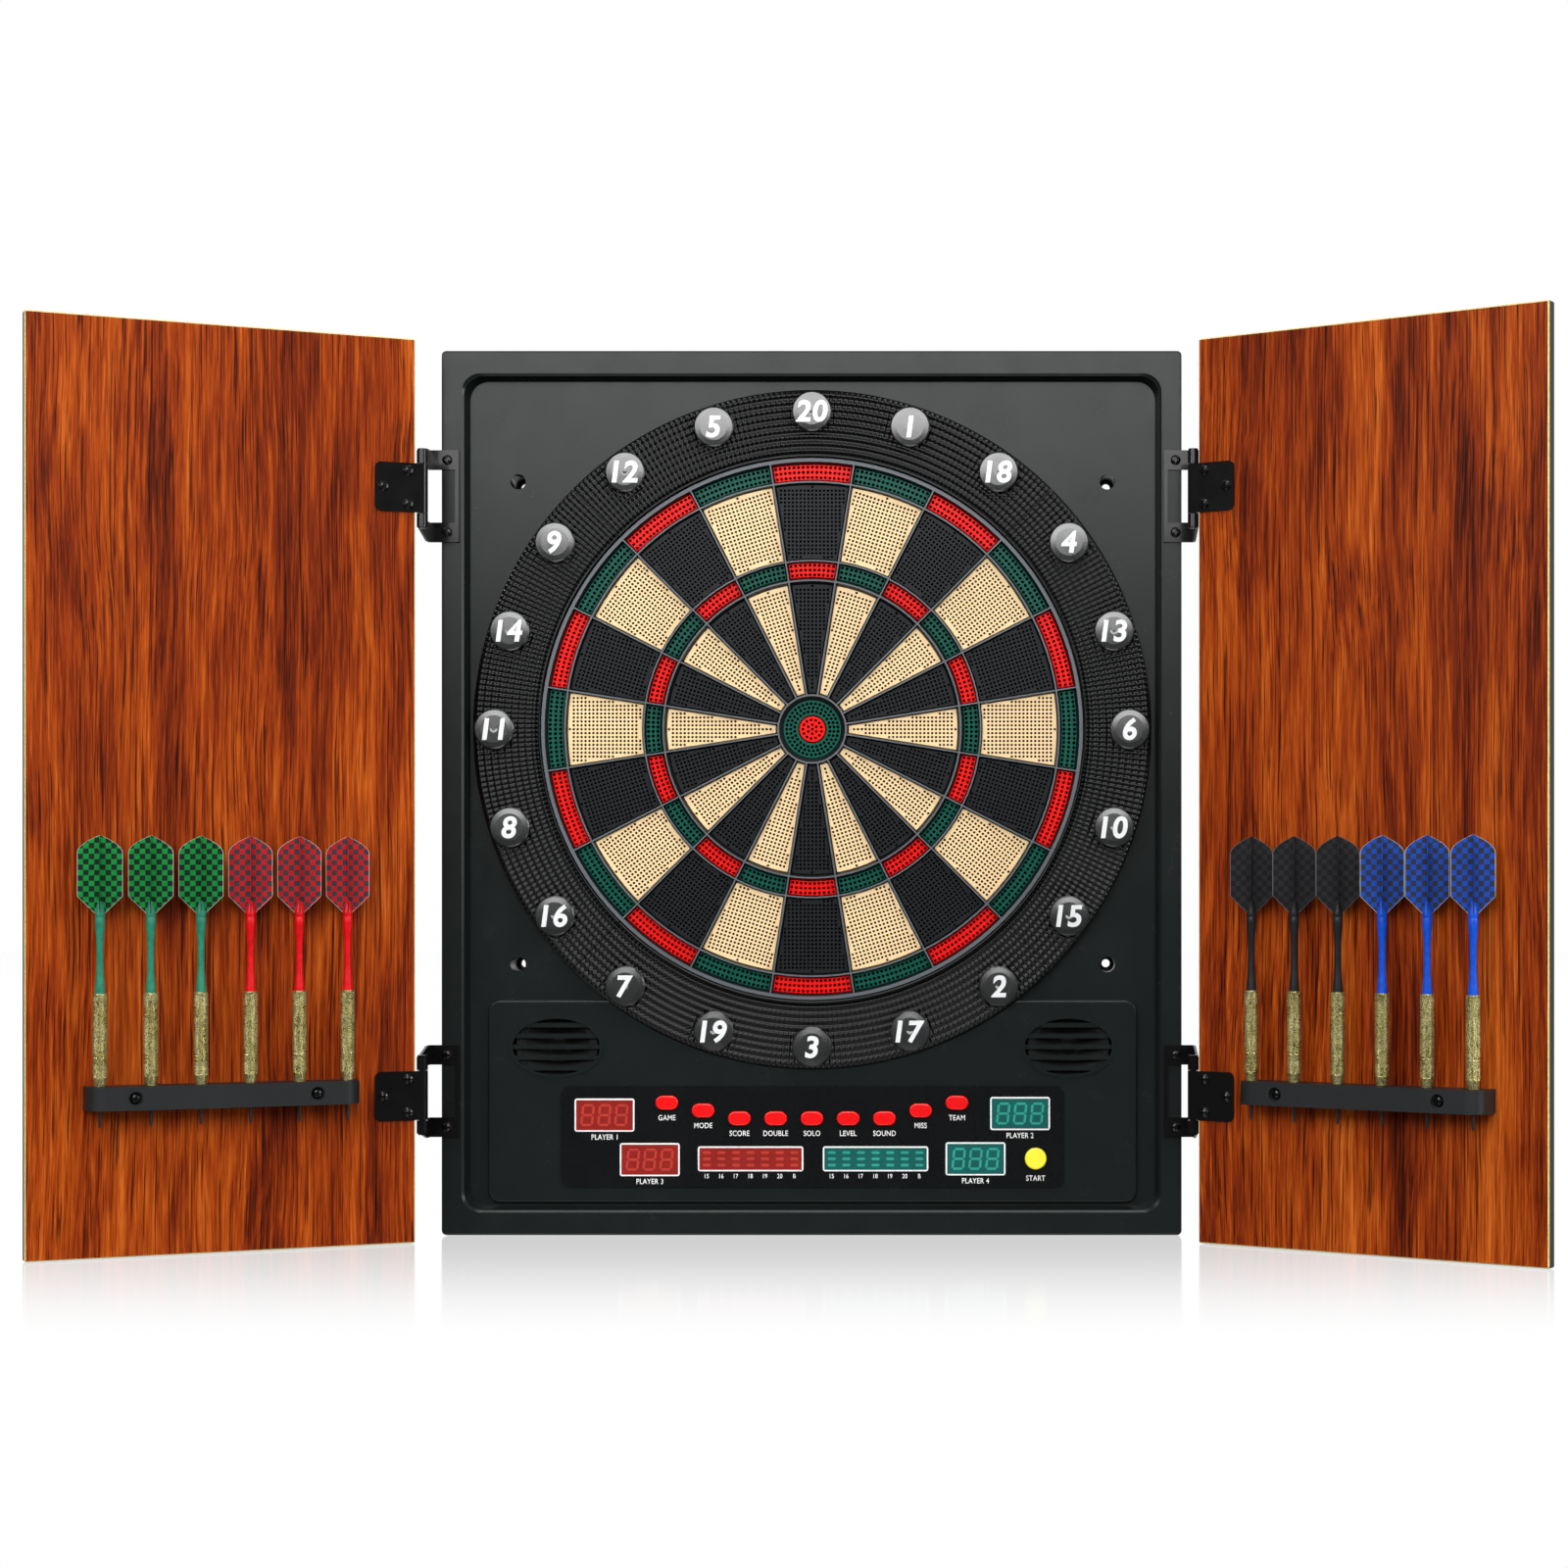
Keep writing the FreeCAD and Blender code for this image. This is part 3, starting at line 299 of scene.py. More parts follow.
def gloss_enamel(name, base, roughness, specular=0.5, coat=0.6):
    """Black or coloured gloss coat with a faint orange peel."""
    material = new_material(name, base, roughness, specular=specular, coat=coat, coat_roughness=0.06)
    where = place(material)
    add_bump(material, noise(material, where, 500.0, 2.0), 0.08, 0.0001)
    smears = noise(material, where, 90.0, 3.0)
    connect(material, remap(material, smears, roughness - 0.04, roughness + 0.08), "Roughness")
    return material


def lens_plastic(name, base, painted_glow):
    """Tinted window: deep colour under a smooth surface, with a faint painted glow."""
    material = new_material(name, base, 0.22, coat=0.5, coat_roughness=0.08)
    shader = material.node_tree.nodes["Principled BSDF"]
    # painted glow: the window gives off light though no lamp behind it is lit
    shader.inputs["Emission Color"].default_value = base
    shader.inputs["Emission Strength"].default_value = painted_glow
    haze = noise(material, place(material), 60.0, 2.0)
    dark = tuple(c * 0.82 for c in base[:3]) + (1.0,)
    connect(material, ramp(material, haze, [(0.3, dark), (0.7, base)]), "Base Color")
    return material


def checkered_film(name, first, second, square):
    """Flight film printed with squares; the UV holds distance across and up the wing in millimetres."""
    material = new_material(name, first, 0.34, specular=0.15)
    where = place(material, uv=True)
    checks = add_node(material, "ShaderNodeTexChecker", inputs={
        "Vector": where, "Color1": first, "Color2": second, "Scale": 1.0 / square})
    scuffs = noise(material, place(material), 260.0, 3.0, 0.6)
    worn = ramp(material, scuffs, [(0.35, (0.82, 0.82, 0.82, 1.0)), (0.6, (1.0, 1.0, 1.0, 1.0))])
    connect(material, mix_colours(material, 1.0, checks.outputs["Color"], worn, "MULTIPLY"), "Base Color")
    connect(material, remap(material, scuffs, 0.26, 0.42), "Roughness")
    return material


def plain_film(name, base):
    material = new_material(name, base, 0.3, specular=0.2)
    scuffs = noise(material, place(material), 260.0, 3.0, 0.6)
    dark = tuple(c * 0.7 for c in base[:3]) + (1.0,)
    connect(material, ramp(material, scuffs, [(0.3, dark), (0.6, base)]), "Base Color")
    connect(material, remap(material, scuffs, 0.24, 0.42), "Roughness")
    return material


def printed_ink(name, base):
    material = new_material(name, base, 0.5)
    coverage = noise(material, place(material), 900.0, 2.0)
    thin = tuple(c * 0.85 for c in base[:3]) + (1.0,)
    connect(material, ramp(material, coverage, [(0.3, thin), (0.55, base)]), "Base Color")
    return material


CASE = moulded_plastic("case_plastic", colour(22, 26, 26), 0.24, variation=0.08, specular=0.22)
PLATE = moulded_plastic("plate_plastic", colour(13, 15, 16), 0.26, variation=0.08, specular=0.15)
WEB_TOP = moulded_plastic("spider_top", colour(92, 97, 102), 0.34, grain=0.1, specular=0.3)
# spider walls: the same plastic as the tops, painted darker as shade
WEB_WALL_SHADED = moulded_plastic("spider_wall_painted_shade", colour(21, 23, 25), 0.36, grain=0.1, specular=0.25)
RING = moulded_plastic("ring_plastic", colour(5, 6, 7), 0.12, grain=0.02, variation=0.2, specular=0.3)
DISC = moulded_plastic("disc_plastic", colour(22, 24, 25), 0.25, grain=0.02, specular=0.8, coat=0.7,
                       coat_roughness=0.22)
RUBBER = moulded_plastic("mat_rubber", colour(26, 26, 26), 0.75)
SHEET = moulded_plastic("sheet_film", colour(200, 204, 196), 0.35)
HARDBOARD = particle_board("hardboard", colour(112, 74, 44), colour(150, 108, 70))
CIRCUIT = gloss_enamel("circuit_lacquer", colour(30, 110, 60), 0.35)
BLACK_STEEL = gloss_enamel("hinge_enamel", colour(8, 8, 9), 0.2, specular=0.25, coat=0.15)
ZINC = brushed_metal("zinc_steel", colour(170, 170, 172), colour(212, 212, 214), 0.24, 0.38)
SPEAKER_STEEL = moulded_plastic("speaker_enamel", colour(14, 14, 15), 0.6, specular=0.2)
HOLDER = moulded_plastic("holder_plastic", colour(27, 30, 31), 0.45, variation=0.12, specular=0.3)
WOOD = wood_laminate("cherry_laminate")
CORE = particle_board("door_core", colour(196, 170, 104), colour(226, 206, 140))
# dark colour on the doors' narrow edges
DOOR_EDGE_DARK = particle_board("door_edge_dark", colour(26, 28, 18), colour(44, 46, 30))
BUTTON_RED = moulded_plastic("button_red", colour(235, 4, 8), 0.22, grain=0.0, variation=0.04, coat=0.2)
BUTTON_YELLOW = moulded_plastic("button_yellow", colour(255, 240, 60), 0.25, grain=0.0, variation=0.03,
                                coat=0.2)
# windows and unlit digit bars, each with a faint painted glow
LENS_RED = lens_plastic("window_red", colour(146, 30, 22), 0.05)
LENS_GREEN = lens_plastic("window_green", colour(14, 92, 88), 0.05)
MARK_RED = lens_plastic("digit_red", colour(186, 58, 46), 0.1)
MARK_GREEN = lens_plastic("digit_green", colour(44, 156, 138), 0.1)
INK = printed_ink("white_ink", colour(250, 250, 250))
NUMBER_PAINT = gloss_enamel("number_paint", colour(232, 233, 234), 0.34)
BRASS = brushed_metal("brass", colour(196, 184, 112), colour(238, 228, 164), 0.24, 0.32, grime=0.22)
TIP = moulded_plastic("tip_plastic", colour(24, 24, 25), 0.35, grain=0.1)

# face colour, then painted shade in the countersink and the bore of the tip holes; at the bore's end the
# dark also stands for the dark mat behind
SEGMENT_COLOURS = {
    "black": (colour(30, 32, 34), colour(10, 11, 12), colour(2, 2, 3)),
    "cream": (colour(244, 214, 166), colour(112, 78, 42), colour(26, 15, 8)),
    "red": (colour(232, 22, 18), colour(160, 6, 6), colour(60, 3, 4)),
    "green": (colour(14, 82, 68), colour(5, 28, 24), colour(1, 8, 7)),
}


def segment_materials(shade):
    # mouth and hole are painted shade: the face's own plastic drawn darker down into the hole
    face, mouth, hole = SEGMENT_COLOURS[shade]
    name = "segment_" + shade
    return [
        moulded_plastic(name, face, 0.32, grain=0.05, variation=0.05, specular=0.12),
        moulded_plastic(name + "_mouth", mouth, 0.32, grain=0.0, variation=0.05, specular=0.25),
        moulded_plastic(name + "_hole", hole, 0.6, grain=0.0, variation=0.05, specular=0.1),
    ]


# mesh building
class Shape:
    """Vertices in millimetres, faces and a material number per face."""

    def __init__(self):
        self.points = []
        self.faces = []
        self.kinds = []

    def add_points(self, points):
        start = len(self.points)
        self.points.extend(points)
        return list(range(start, len(self.points)))

    def add_face(self, corners, kind=0):
        self.faces.append(corners)
        self.kinds.append(kind)

    def bridge(self, first, second, kind=0, inward=False, closed=True):
        """Quads between two rings of the same length; outward for a ring drawn anticlockwise."""
        count = len(first)
        for i in range(count if closed else count - 1):
            j = (i + 1) % count
            corners = [first[i], second[i], second[j], first[j]]
            self.add_face(corners[::-1] if inward else corners, kind)

    def append(self, other, matrix):
        start = len(self.points)
        self.points.extend([matrix @ Vector(p) for p in other.points])
        self.faces.extend([[i + start for i in face] for face in other.faces])
        self.kinds.extend(other.kinds)

    def build(self, name, materials, smooth_kinds=(), uv=None):
        mesh = bpy.data.meshes.new(name)
        mesh.from_pydata([Vector(p) * MM for p in self.points], [], self.faces)
        for material in materials:
            mesh.materials.append(material)
        mesh.polygons.foreach_set("material_index", self.kinds)
        mesh.polygons.foreach_set("use_smooth", [kind in smooth_kinds for kind in self.kinds])
        if uv:
            layer = mesh.uv_layers.new(name="wing")
            for loop in mesh.loops:
                layer.data[loop.index].uv = uv[loop.vertex_index]
        mesh.update()
        piece = bpy.data.objects.new(name, mesh)
        bpy.context.scene.collection.objects.link(piece)
        return piece


def about_y(angle):
    """Clockwise turn seen from the front."""
    return Matrix.Rotation(angle, 4, "Y")


def wedge_loop(band, grow):
    """Outline of one sector about +Z in (x, z), anticlockwise seen from the front."""
    r_in, r_out = band[0] - grow, band[1] + grow
    inset = WEDGE_GAP / 2.0 - grow
    loop = []
    for radius, steps, turn in ((r_in, 4, 1.0), (r_out, 8, -1.0)):
        reach = SECTOR / 2.0 - math.asin(inset / radius)
        for i in range(steps + 1):
            angle = turn * reach * (2.0 * i / steps - 1.0)
            loop.append((radius * math.sin(angle), radius * math.cos(angle)))
    return loop


def circle_loop(radius, sides, x=0.0, z=0.0, phase=0.5):
    turns = [math.tau * (i + phase) / sides for i in range(sides)]
    return [(x + radius * math.cos(t), z + radius * math.sin(t)) for t in turns]


def perforated(shape, outer, openings, y):
    """Flat face between an outer loop and its openings; returns the rings of point numbers."""
    flat = list(outer)
    rings = [list(range(len(outer)))]
    for loop in openings:
        rings.append(list(range(len(flat), len(flat) + len(loop))))
        flat.extend(loop)
    result = delaunay_2d_cdt([Vector(p) for p in flat], [], rings, 1, 1e-7)
    triangles, source_points, source_faces = result[2], result[3], result[5]
    numbers = shape.add_points([(x, y, z) for x, z in flat])
    for corners, origins in zip(triangles, source_faces):
        if origins == [0]:
            shape.add_face([numbers[source_points[c][0]] for c in corners])
    return [[numbers[i] for i in ring] for ring in rings]


def drill(shape, ring, x, z, mouth, radius):
    """Countersunk tip hole below a ring on the face."""
    neck_y = SEG_FRONT + (mouth - radius) * 1.2
    loop = circle_loop(radius, HOLE_SIDES, x, z)
    neck = shape.add_points([(px, neck_y, pz) for px, pz in loop])
    end = shape.add_points([(px, SEG_FRONT + HOLE_DEPTH, pz) for px, pz in loop])
    # countersink (kind 1) and bore with its end (kind 2) take the darker colours of painted shade
    shape.bridge(ring, neck, 1, inward=True)
    shape.bridge(neck, end, 2, inward=True)
    shape.add_face(end, 2)


# growth of an outline at each y, from the front edge to the back
SEGMENT_LEVELS = ((0.0, SEG_FRONT + EDGE), (0.0, SEG_FLANGE[0]), (SEG_LIP, SEG_FLANGE[0]),
                  (SEG_LIP, SEG_FLANGE[1]))
BORE_LEVELS = ((0.0, SEG_FRONT + EDGE), (BULL_BORE_TAPER, SEG_FLANGE[1]))
PEG_LEVELS = ((0.0, SEG_FRONT + EDGE), (BULL_PEG_TAPER, SEG_FLANGE[1]))


def segment_shape(loop_at, centres, mouth, radius, levels=SEGMENT_LEVELS, inner_at=None):
    """One segment: drilled face, eased edge, then its outline grown as levels say towards the back."""
    shape = Shape()
    openings = [circle_loop(mouth, HOLE_SIDES, x, z) for x, z in centres]
    if inner_at:
        openings.append(inner_at(EDGE))
    rings = perforated(shape, loop_at(-EDGE), openings, SEG_FRONT)
    for (x, z), ring in zip(centres, rings[1:]):
        drill(shape, ring, x, z, mouth, radius)
    ring = rings[0]
    for grow, y in levels:
        following = shape.add_points([(x, y, z) for x, z in loop_at(grow)])
        shape.bridge(ring, following)
        ring = following
    if inner_at:
        hole = rings[-1]
        for grow, y in BORE_LEVELS:
            following = shape.add_points([(x, y, z) for x, z in inner_at(grow)])
            shape.bridge(hole, following, inward=True)
            hole = following
        shape.bridge(ring, hole)
    else:
        shape.add_face(ring[::-1])
    return shape


def fits(x, z, band, margin):
    """Whether a point keeps its distance from the edges of the sector about +Z."""
    radius = math.hypot(x, z)
    if not band[0] + margin <= radius <= band[1] - margin:
        return False
    side = radius * math.sin(SECTOR / 2.0 - abs(math.atan2(x, z)))
    return side >= WEDGE_GAP / 2.0 + margin


def single_holes(band, mouth):
    """Square grid in line with the sector's axis."""
    margin = mouth + EDGE + 0.15
    rows = int((band[1] - band[0]) / SINGLE_PITCH) + 2
    centres = []
    for row in range(rows):
        z = band[1] - margin - row * SINGLE_PITCH
        for column in range(-12, 13):
            x = column * SINGLE_PITCH
            if fits(x, z, band, margin):
                centres.append((x, z))
    return centres


def ring_holes(band, rows, mouth):
    """Three or four concentric rows of holes."""
    margin = mouth + EDGE + 0.15
    pitch = (band[1] - band[0] - 2.0 * margin) / (rows - 1)
    centres = []
    for row in range(rows):
        radius = band[0] + margin + row * pitch
        reach = SECTOR / 2.0 - math.asin((WEDGE_GAP / 2.0 + margin) / radius)
        count = int(2.0 * reach * sum(band) / 2.0 / BAND_PITCH)
        for i in range(count + 1):
            angle = reach * (2.0 * i / count - 1.0)
            centres.append((radius * math.sin(angle), radius * math.cos(angle)))
    return centres


def bull_holes(radii):
    centres = []
    for radius in radii:
        count = max(1, int(math.tau * radius / BAND_PITCH))
        centres += circle_loop(radius, count)
    return centres


def add_segments():
    plans = (("inner_singles", 0.86, 0.7, "black", "cream"), ("outer_singles", 0.86, 0.7, "black", "cream"),
             ("triples", 1.08, 0.8, "red", "green"), ("doubles", 1.08, 0.8, "red", "green"))
    palette = {shade: segment_materials(shade) for shade in SEGMENT_COLOURS}
    for ring_name, mouth, radius, *shades in plans:
        band = BANDS[ring_name]
        if ring_name.endswith("singles"):
            centres = single_holes(band, mouth)
        else:
            centres = ring_holes(band, 3, mouth)
        one = segment_shape(lambda grow: wedge_loop(band, grow), centres, mouth, radius)
        for first, shade in enumerate(shades):
            whole = Shape()
            for k in range(first, SECTORS, 2):
                whole.append(one, about_y(k * SECTOR))
            name = ring_name + "_" + shade
            piece = whole.build("drilled_" + name, palette[shade])
            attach(piece, name + "_body")
            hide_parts(name)
    outer = segment_shape(lambda grow: circle_loop(BULL_OUT[1] + grow, 64), bull_holes(BULL_OUT_ROWS),
                          1.05, 0.8, inner_at=lambda grow: circle_loop(BULL_OUT[0] + grow, 64))
    inner = segment_shape(lambda grow: circle_loop(BULL_IN_R + grow, 48),
                          [(0.0, 0.0)] + bull_holes(BULL_IN_ROWS), 1.0, 0.8, levels=PEG_LEVELS)
    for name, shape, shade in (("bull_outer", outer, "green"), ("bull_inner", inner, "red")):
        piece = shape.build("drilled_" + name, palette[shade])
        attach(piece, name + "_body")
        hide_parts(name)


def ring_section():
    """Radius and y along the catch ring's section; the third value counts the bead rows there."""
    r_in, r_out = RING_R
    field_in, field_out = r_in + 2.2, r_out - 0.8
    valley = RING_FRONT + BEAD_HEIGHT
    lip = [(0.0, RING_FLOOR), (0.0, RING_FRONT - 0.7), (0.3, RING_FRONT - 1.0), (1.1, RING_FRONT - 1.0),
           (1.5, RING_FRONT - 0.6), (1.7, valley)]
    section = [(r_in + out, y, None) for out, y in lip]
    steps = RING_ROWS * BEAD_SPLIT
    for i in range(steps + 1):
        share = i / BEAD_SPLIT
        radius = field_in + (field_out - field_in) * i / steps
        section.append((radius, valley, share))
    section += [(r_out - 0.3, valley, None), (r_out, valley + 0.3, None), (r_out, RING_FLOOR, None)]
    return section


def bead(u, v):
    """Height of a rounded bead over its cell, 0 at the edges and 1 in the middle."""
    return abs(math.sin(math.pi * u)) * abs(math.sin(math.pi * v))


def add_catch_ring():
    """Four quadrants covered in rows of beads, with a plain lip on the inner edge."""
    section = ring_section()
    quadrant = Shape()
    columns = RING_COLUMNS // 4
    stations = columns * BEAD_SPLIT
    seam = 0.2 / RING_R[0]
    loops = []
    for i in range(stations + 1):
        angle = -math.pi / 4.0 + seam + (math.pi / 2.0 - 2.0 * seam) * i / stations
        share = i / BEAD_SPLIT
        points = []
        for radius, y, row in section:
            if row is not None:
                y -= BEAD_HEIGHT * bead(row % 1.0, share % 1.0)
            points.append((radius * math.sin(angle), y, radius * math.cos(angle)))
        loops.append(quadrant.add_points(points))
    for first, second in zip(loops, loops[1:]):
        quadrant.bridge(first, second, inward=True)
    quadrant.add_face(loops[0])
    quadrant.add_face(loops[-1][::-1])
    whole = Shape()
    for k in range(4):
        whole.append(quadrant, about_y(k * math.pi / 2.0))
    piece = whole.build("beaded_ring", [RING], smooth_kinds=(0,))
    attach(piece, "case")
    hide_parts("catch_ring")


# lettering
def word_shape(text, height, bold, slant, depth, squeeze=1.0, spacing=1.0):
    """Raised lettering as mesh points in millimetres, centred, in (x, y, z) with y forward."""
    curve = bpy.data.curves.new("word", "FONT")
    curve.body = text
    curve.align_x = "CENTER"
    curve.size = 1.0
    curve.shear = slant
    curve.offset = bold
    curve.space_character = spacing
    curve.extrude = 0.5
    curve.resolution_u = 4
    carrier = bpy.data.objects.new("word", curve)
    bpy.context.scene.collection.objects.link(carrier)
    mesh = bpy.data.meshes.new_from_object(carrier.evaluated_get(bpy.context.evaluated_depsgraph_get()))
    cap_height = 0.7
    size = height / cap_height
    shape = Shape()
    middle = (min(v.co.x for v in mesh.vertices) + max(v.co.x for v in mesh.vertices)) / 2.0
    for vertex in mesh.vertices:
        x, y, z = vertex.co
        across = (x - middle) * size * squeeze
        shape.points.append((across, -depth * (z + 0.5), (y - cap_height / 2.0) * size))
    for polygon in mesh.polygons:
        shape.add_face(list(polygon.vertices))
    bpy.data.objects.remove(carrier)
    bpy.data.meshes.remove(mesh)
    bpy.data.curves.remove(curve)
    return shape


def add_numbers():
    """Bold slanted numbers standing on the number discs."""
    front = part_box("number_discs")[0].y / MM + 0.15
    whole = Shape()
    for k, number in enumerate(NUMBERS):
        shape = word_shape(str(number), NUMBER_HEIGHT, 0.028, 0.13, 0.45, spacing=1.07)
        x = DISC_AT * math.sin(k * SECTOR)
        z = DISC_AT * math.cos(k * SECTOR)
        whole.append(shape, Matrix.Translation((x, front, z)))
    piece = whole.build("disc_numbers", [NUMBER_PAINT])
    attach(piece, "case")


# control panel
DIGIT_WINDOWS = {
    "windows_red": ((-133.0, -247.0), (-104.0, -275.5)),
    "windows_green": ((133.0, -246.0), (104.5, -275.0)),
}
MARK_WINDOWS = {"windows_red": (-39.5, -275.0), "windows_green": (40.5, -275.0)}
DIGIT_FRAME = (38.3, 21.2)
MARK_FRAME = (67.5, 16.0)
FRAME_LINE = 1.0
MARK_COLUMNS = 7
MARK_PITCH = 9.35
WORD_HEIGHT = 3.4
BUTTON_WORD_X = -93.0
BUTTON_PITCH = 23.2
BUTTON_WORDS = (
    ("GAME", -248.6), ("MODE", -253.6), ("SCORE", -258.6), ("DOUBLE", -258.6), ("SOLO", -258.6),
    ("LEVEL", -258.6), ("SOUND", -258.6), ("MISS", -253.6), ("TEAM", -248.6),
)
OTHER_WORDS = (
    ("START", 143.0, -287.3), ("PLAYER 1", -133.0, -261.0), ("PLAYER 2", 133.0, -260.0),
    ("PLAYER 3", -104.0, -289.4), ("PLAYER 4", 104.5, -289.0),
)
MARK_WORD_Z = -286.0
MARK_WORD_HEIGHT = 2.8


def frame_shape(x, z, size, y):
    """White rounded line printed round a window."""
    shape = Shape()
    half_w, half_h = size[0] / 2.0, size[1] / 2.0
    rings = []
    for inset, depth in ((0.0, 0.0), (0.0, -0.06), (FRAME_LINE, -0.06), (FRAME_LINE, 0.0)):
        loop = []
        radius = max(0.4, 1.6 - inset)
        for cx, cz, start in ((half_w, half_h, 0.0), (-half_w, half_h, 0.25), (-half_w, -half_h, 0.5),
                              (half_w, -half_h, 0.75)):
            sx, sz = math.copysign(1.0, cx), math.copysign(1.0, cz)
            for i in range(5):
                turn = math.tau * (start + i / 16.0)
                loop.append((x + cx - sx * (inset + radius) + radius * math.cos(turn), y + depth,
                             z + cz - sz * (inset + radius) + radius * math.sin(turn)))
        rings.append(shape.add_points(loop))
    for first, second in zip(rings, rings[1:] + rings[:1]):
        shape.bridge(second, first)
    return shape


def bar_shape(x, z, length, thickness, upright, lean, y):
    """One lit bar of a digit: a flat hexagon."""
    half, tip = length / 2.0, thickness / 2.0
    inner = half - tip
    outline = [(-half, 0.0), (-inner, -tip), (inner, -tip), (half, 0.0), (inner, tip), (-inner, tip)]
    if upright:
        outline = [(-b, a) for a, b in outline]
    shape = Shape()
    front = shape.add_points([(x + a + lean * (z + b), y - 0.05, z + b) for a, b in outline])
    back = shape.add_points([(x + a + lean * (z + b), y, z + b) for a, b in outline])
    shape.add_face(front)
    shape.bridge(front, back)
    shape.add_face(back[::-1])
    return shape


def digit_shape(x, z, y):
    """Seven-bar figure eight."""
    width, height, thick, lean = 6.4, 12.6, 1.5, 0.10
    shape = Shape()
    there = Matrix.Translation((x, 0, z))
    for dz in (-height / 2.0, 0.0, height / 2.0):
        shape.append(bar_shape(0.0, dz, width, thick, False, lean, y), there)
    for dx in (-width / 2.0 - 0.2, width / 2.0 + 0.2):
        for dz in (-height / 4.0, height / 4.0):
            shape.append(bar_shape(dx, dz, height / 2.0 - 0.6, thick, True, lean, y), there)
    return shape


def add_displays():
    """Printed frames, dim digits and hit marks on the six windows."""
    plate_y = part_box("control_plate")[0].y / MM
    lens_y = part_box("windows_red")[0].y / MM
    frames = Shape()
    for node, marks_material, slot in (("windows_red", MARK_RED, "window_red"),
                                       ("windows_green", MARK_GREEN, "window_green")):
        marks = Shape()
        for x, z in DIGIT_WINDOWS[node]:
            frames.append(frame_shape(x, z, DIGIT_FRAME, plate_y), Matrix())
            for k in (-1, 0, 1):
                marks.append(digit_shape(x + 10.8 * k, z, lens_y), Matrix())
        x, z = MARK_WINDOWS[node]
        frames.append(frame_shape(x, z, MARK_FRAME, plate_y), Matrix())
        for column in range(MARK_COLUMNS):
            for row in (-1, 0, 1):
                place_x = x + (column - (MARK_COLUMNS - 1) / 2.0) * MARK_PITCH
                marks.append(bar_shape(place_x, z + 4.0 * row, 5.6, 1.7, False, 0.0, lens_y), Matrix())
        piece = marks.build("marks_" + slot, [marks_material])
        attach(piece, "case")
    piece = frames.build("window_frames", [INK])
    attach(piece, "case")


def label_plan():
    """Every printed word with its centre and letter height."""
    plan = []
    for number, (text, z) in enumerate(BUTTON_WORDS):
        plan.append((text, BUTTON_WORD_X + BUTTON_PITCH * number, z, WORD_HEIGHT))
    plan += [(text, x, z, WORD_HEIGHT) for text, x, z in OTHER_WORDS]
    for centre in (-39.5, 40.5):
        for column, text in enumerate(("15", "16", "17", "18", "19", "20", "B")):
            x = centre + (column - (MARK_COLUMNS - 1) / 2.0) * MARK_PITCH
            plan.append((text, x, MARK_WORD_Z, MARK_WORD_HEIGHT))
    return plan


def add_labels():
    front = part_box("control_plate")[0].y / MM
    whole = Shape()
    for text, x, z, height in label_plan():
        shape = word_shape(text, height, 0.006, 0.0, 0.05, squeeze=0.84, spacing=1.05)
        whole.append(shape, Matrix.Translation((x, front, z)))
    piece = whole.build("printed_words", [INK])
    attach(piece, "case")


# darts
def turned_shape(profile, sides, phase=0.0):
    """Solid of revolution about Z; the profile starts and ends on the axis."""
    shape = Shape()
    ends = []
    rings = []
    for radius, z in profile:
        if radius == 0.0:
            ends.append(shape.add_points([(0.0, 0.0, z)])[0])
        else:
            turns = [math.tau * (i + phase) / sides for i in range(sides)]
            rings.append(shape.add_points([(radius * math.cos(t), radius * math.sin(t), z) for t in turns]))
    for first, second in zip(rings, rings[1:]):
        shape.bridge(second, first)
    for ring, end, inward in ((rings[0], ends[0], False), (rings[-1], ends[1], True)):
        for i in range(sides):
            corners = [ring[i], end, ring[(i + 1) % sides]]
            shape.add_face(corners[::-1] if inward else corners)
    return shape


def barrel_rows():
    """Radius, height and knurl depth of every ring of the barrel above its nose."""
    grooves = [start + 0.6 + GROOVE_PITCH * k for start in GROOVE_BANDS for k in range(3)]
    rows = []
    for i in range(int((BARREL_LEN - 7.0) / KNURL_STEP)):
        z = 6.0 + i * KNURL_STEP
        if all(abs(z - middle) > GROOVE_HALF + 0.15 for middle in grooves):
            rows.append((BARREL_R, z, KNURL_DEPTH))
    floor = BARREL_R - GROOVE_DEPTH
    for middle in grooves:
        low, high = middle - GROOVE_HALF, middle + GROOVE_HALF
        rows += [(BARREL_R, low, 0.0), (floor, low + 0.1, 0.0)]
        rows += [(floor, high - 0.1, 0.0), (BARREL_R, high, 0.0)]
    return sorted(rows, key=lambda row: row[1])


def barrel_shape():
    """Knurled barrel with a plain tapered nose; the knurl's points stand on every second corner."""
    shape = Shape()
    rows = [(3.3, 0.0, 0.0), (3.5, 0.15, 0.0), (3.85, 4.6, 0.0), (BARREL_R - 0.15, 5.6, 0.0)]
    rows += barrel_rows()
    rows += [(BARREL_R, BARREL_LEN - 0.7, 0.0), (BARREL_R - 0.3, BARREL_LEN, 0.0), (3.2, BARREL_LEN, 0.0),
             (3.15, BARREL_LEN - 1.0, 0.0)]
    loops = []
    for i, (radius, z, depth) in enumerate(rows):
        points = []
        for j in range(KNURL_COLUMNS):
            turn = math.tau * j / KNURL_COLUMNS
            reach = radius - depth * ((i + j) % 2)
            points.append((reach * math.cos(turn), reach * math.sin(turn), z))
        loops.append(shape.add_points(points))
    for i, (low, high) in enumerate(zip(loops, loops[1:])):
        for j in range(KNURL_COLUMNS):
            k = (j + 1) % KNURL_COLUMNS
            if (i + j) % 2:
                shape.add_face([low[j], low[k], high[j]])
                shape.add_face([low[k], high[k], high[j]])
            else:
                shape.add_face([low[j], low[k], high[k]])
                shape.add_face([low[j], high[k], high[j]])
    shape.add_face(loops[0][::-1])
    shape.add_face(loops[-1])
    return shape


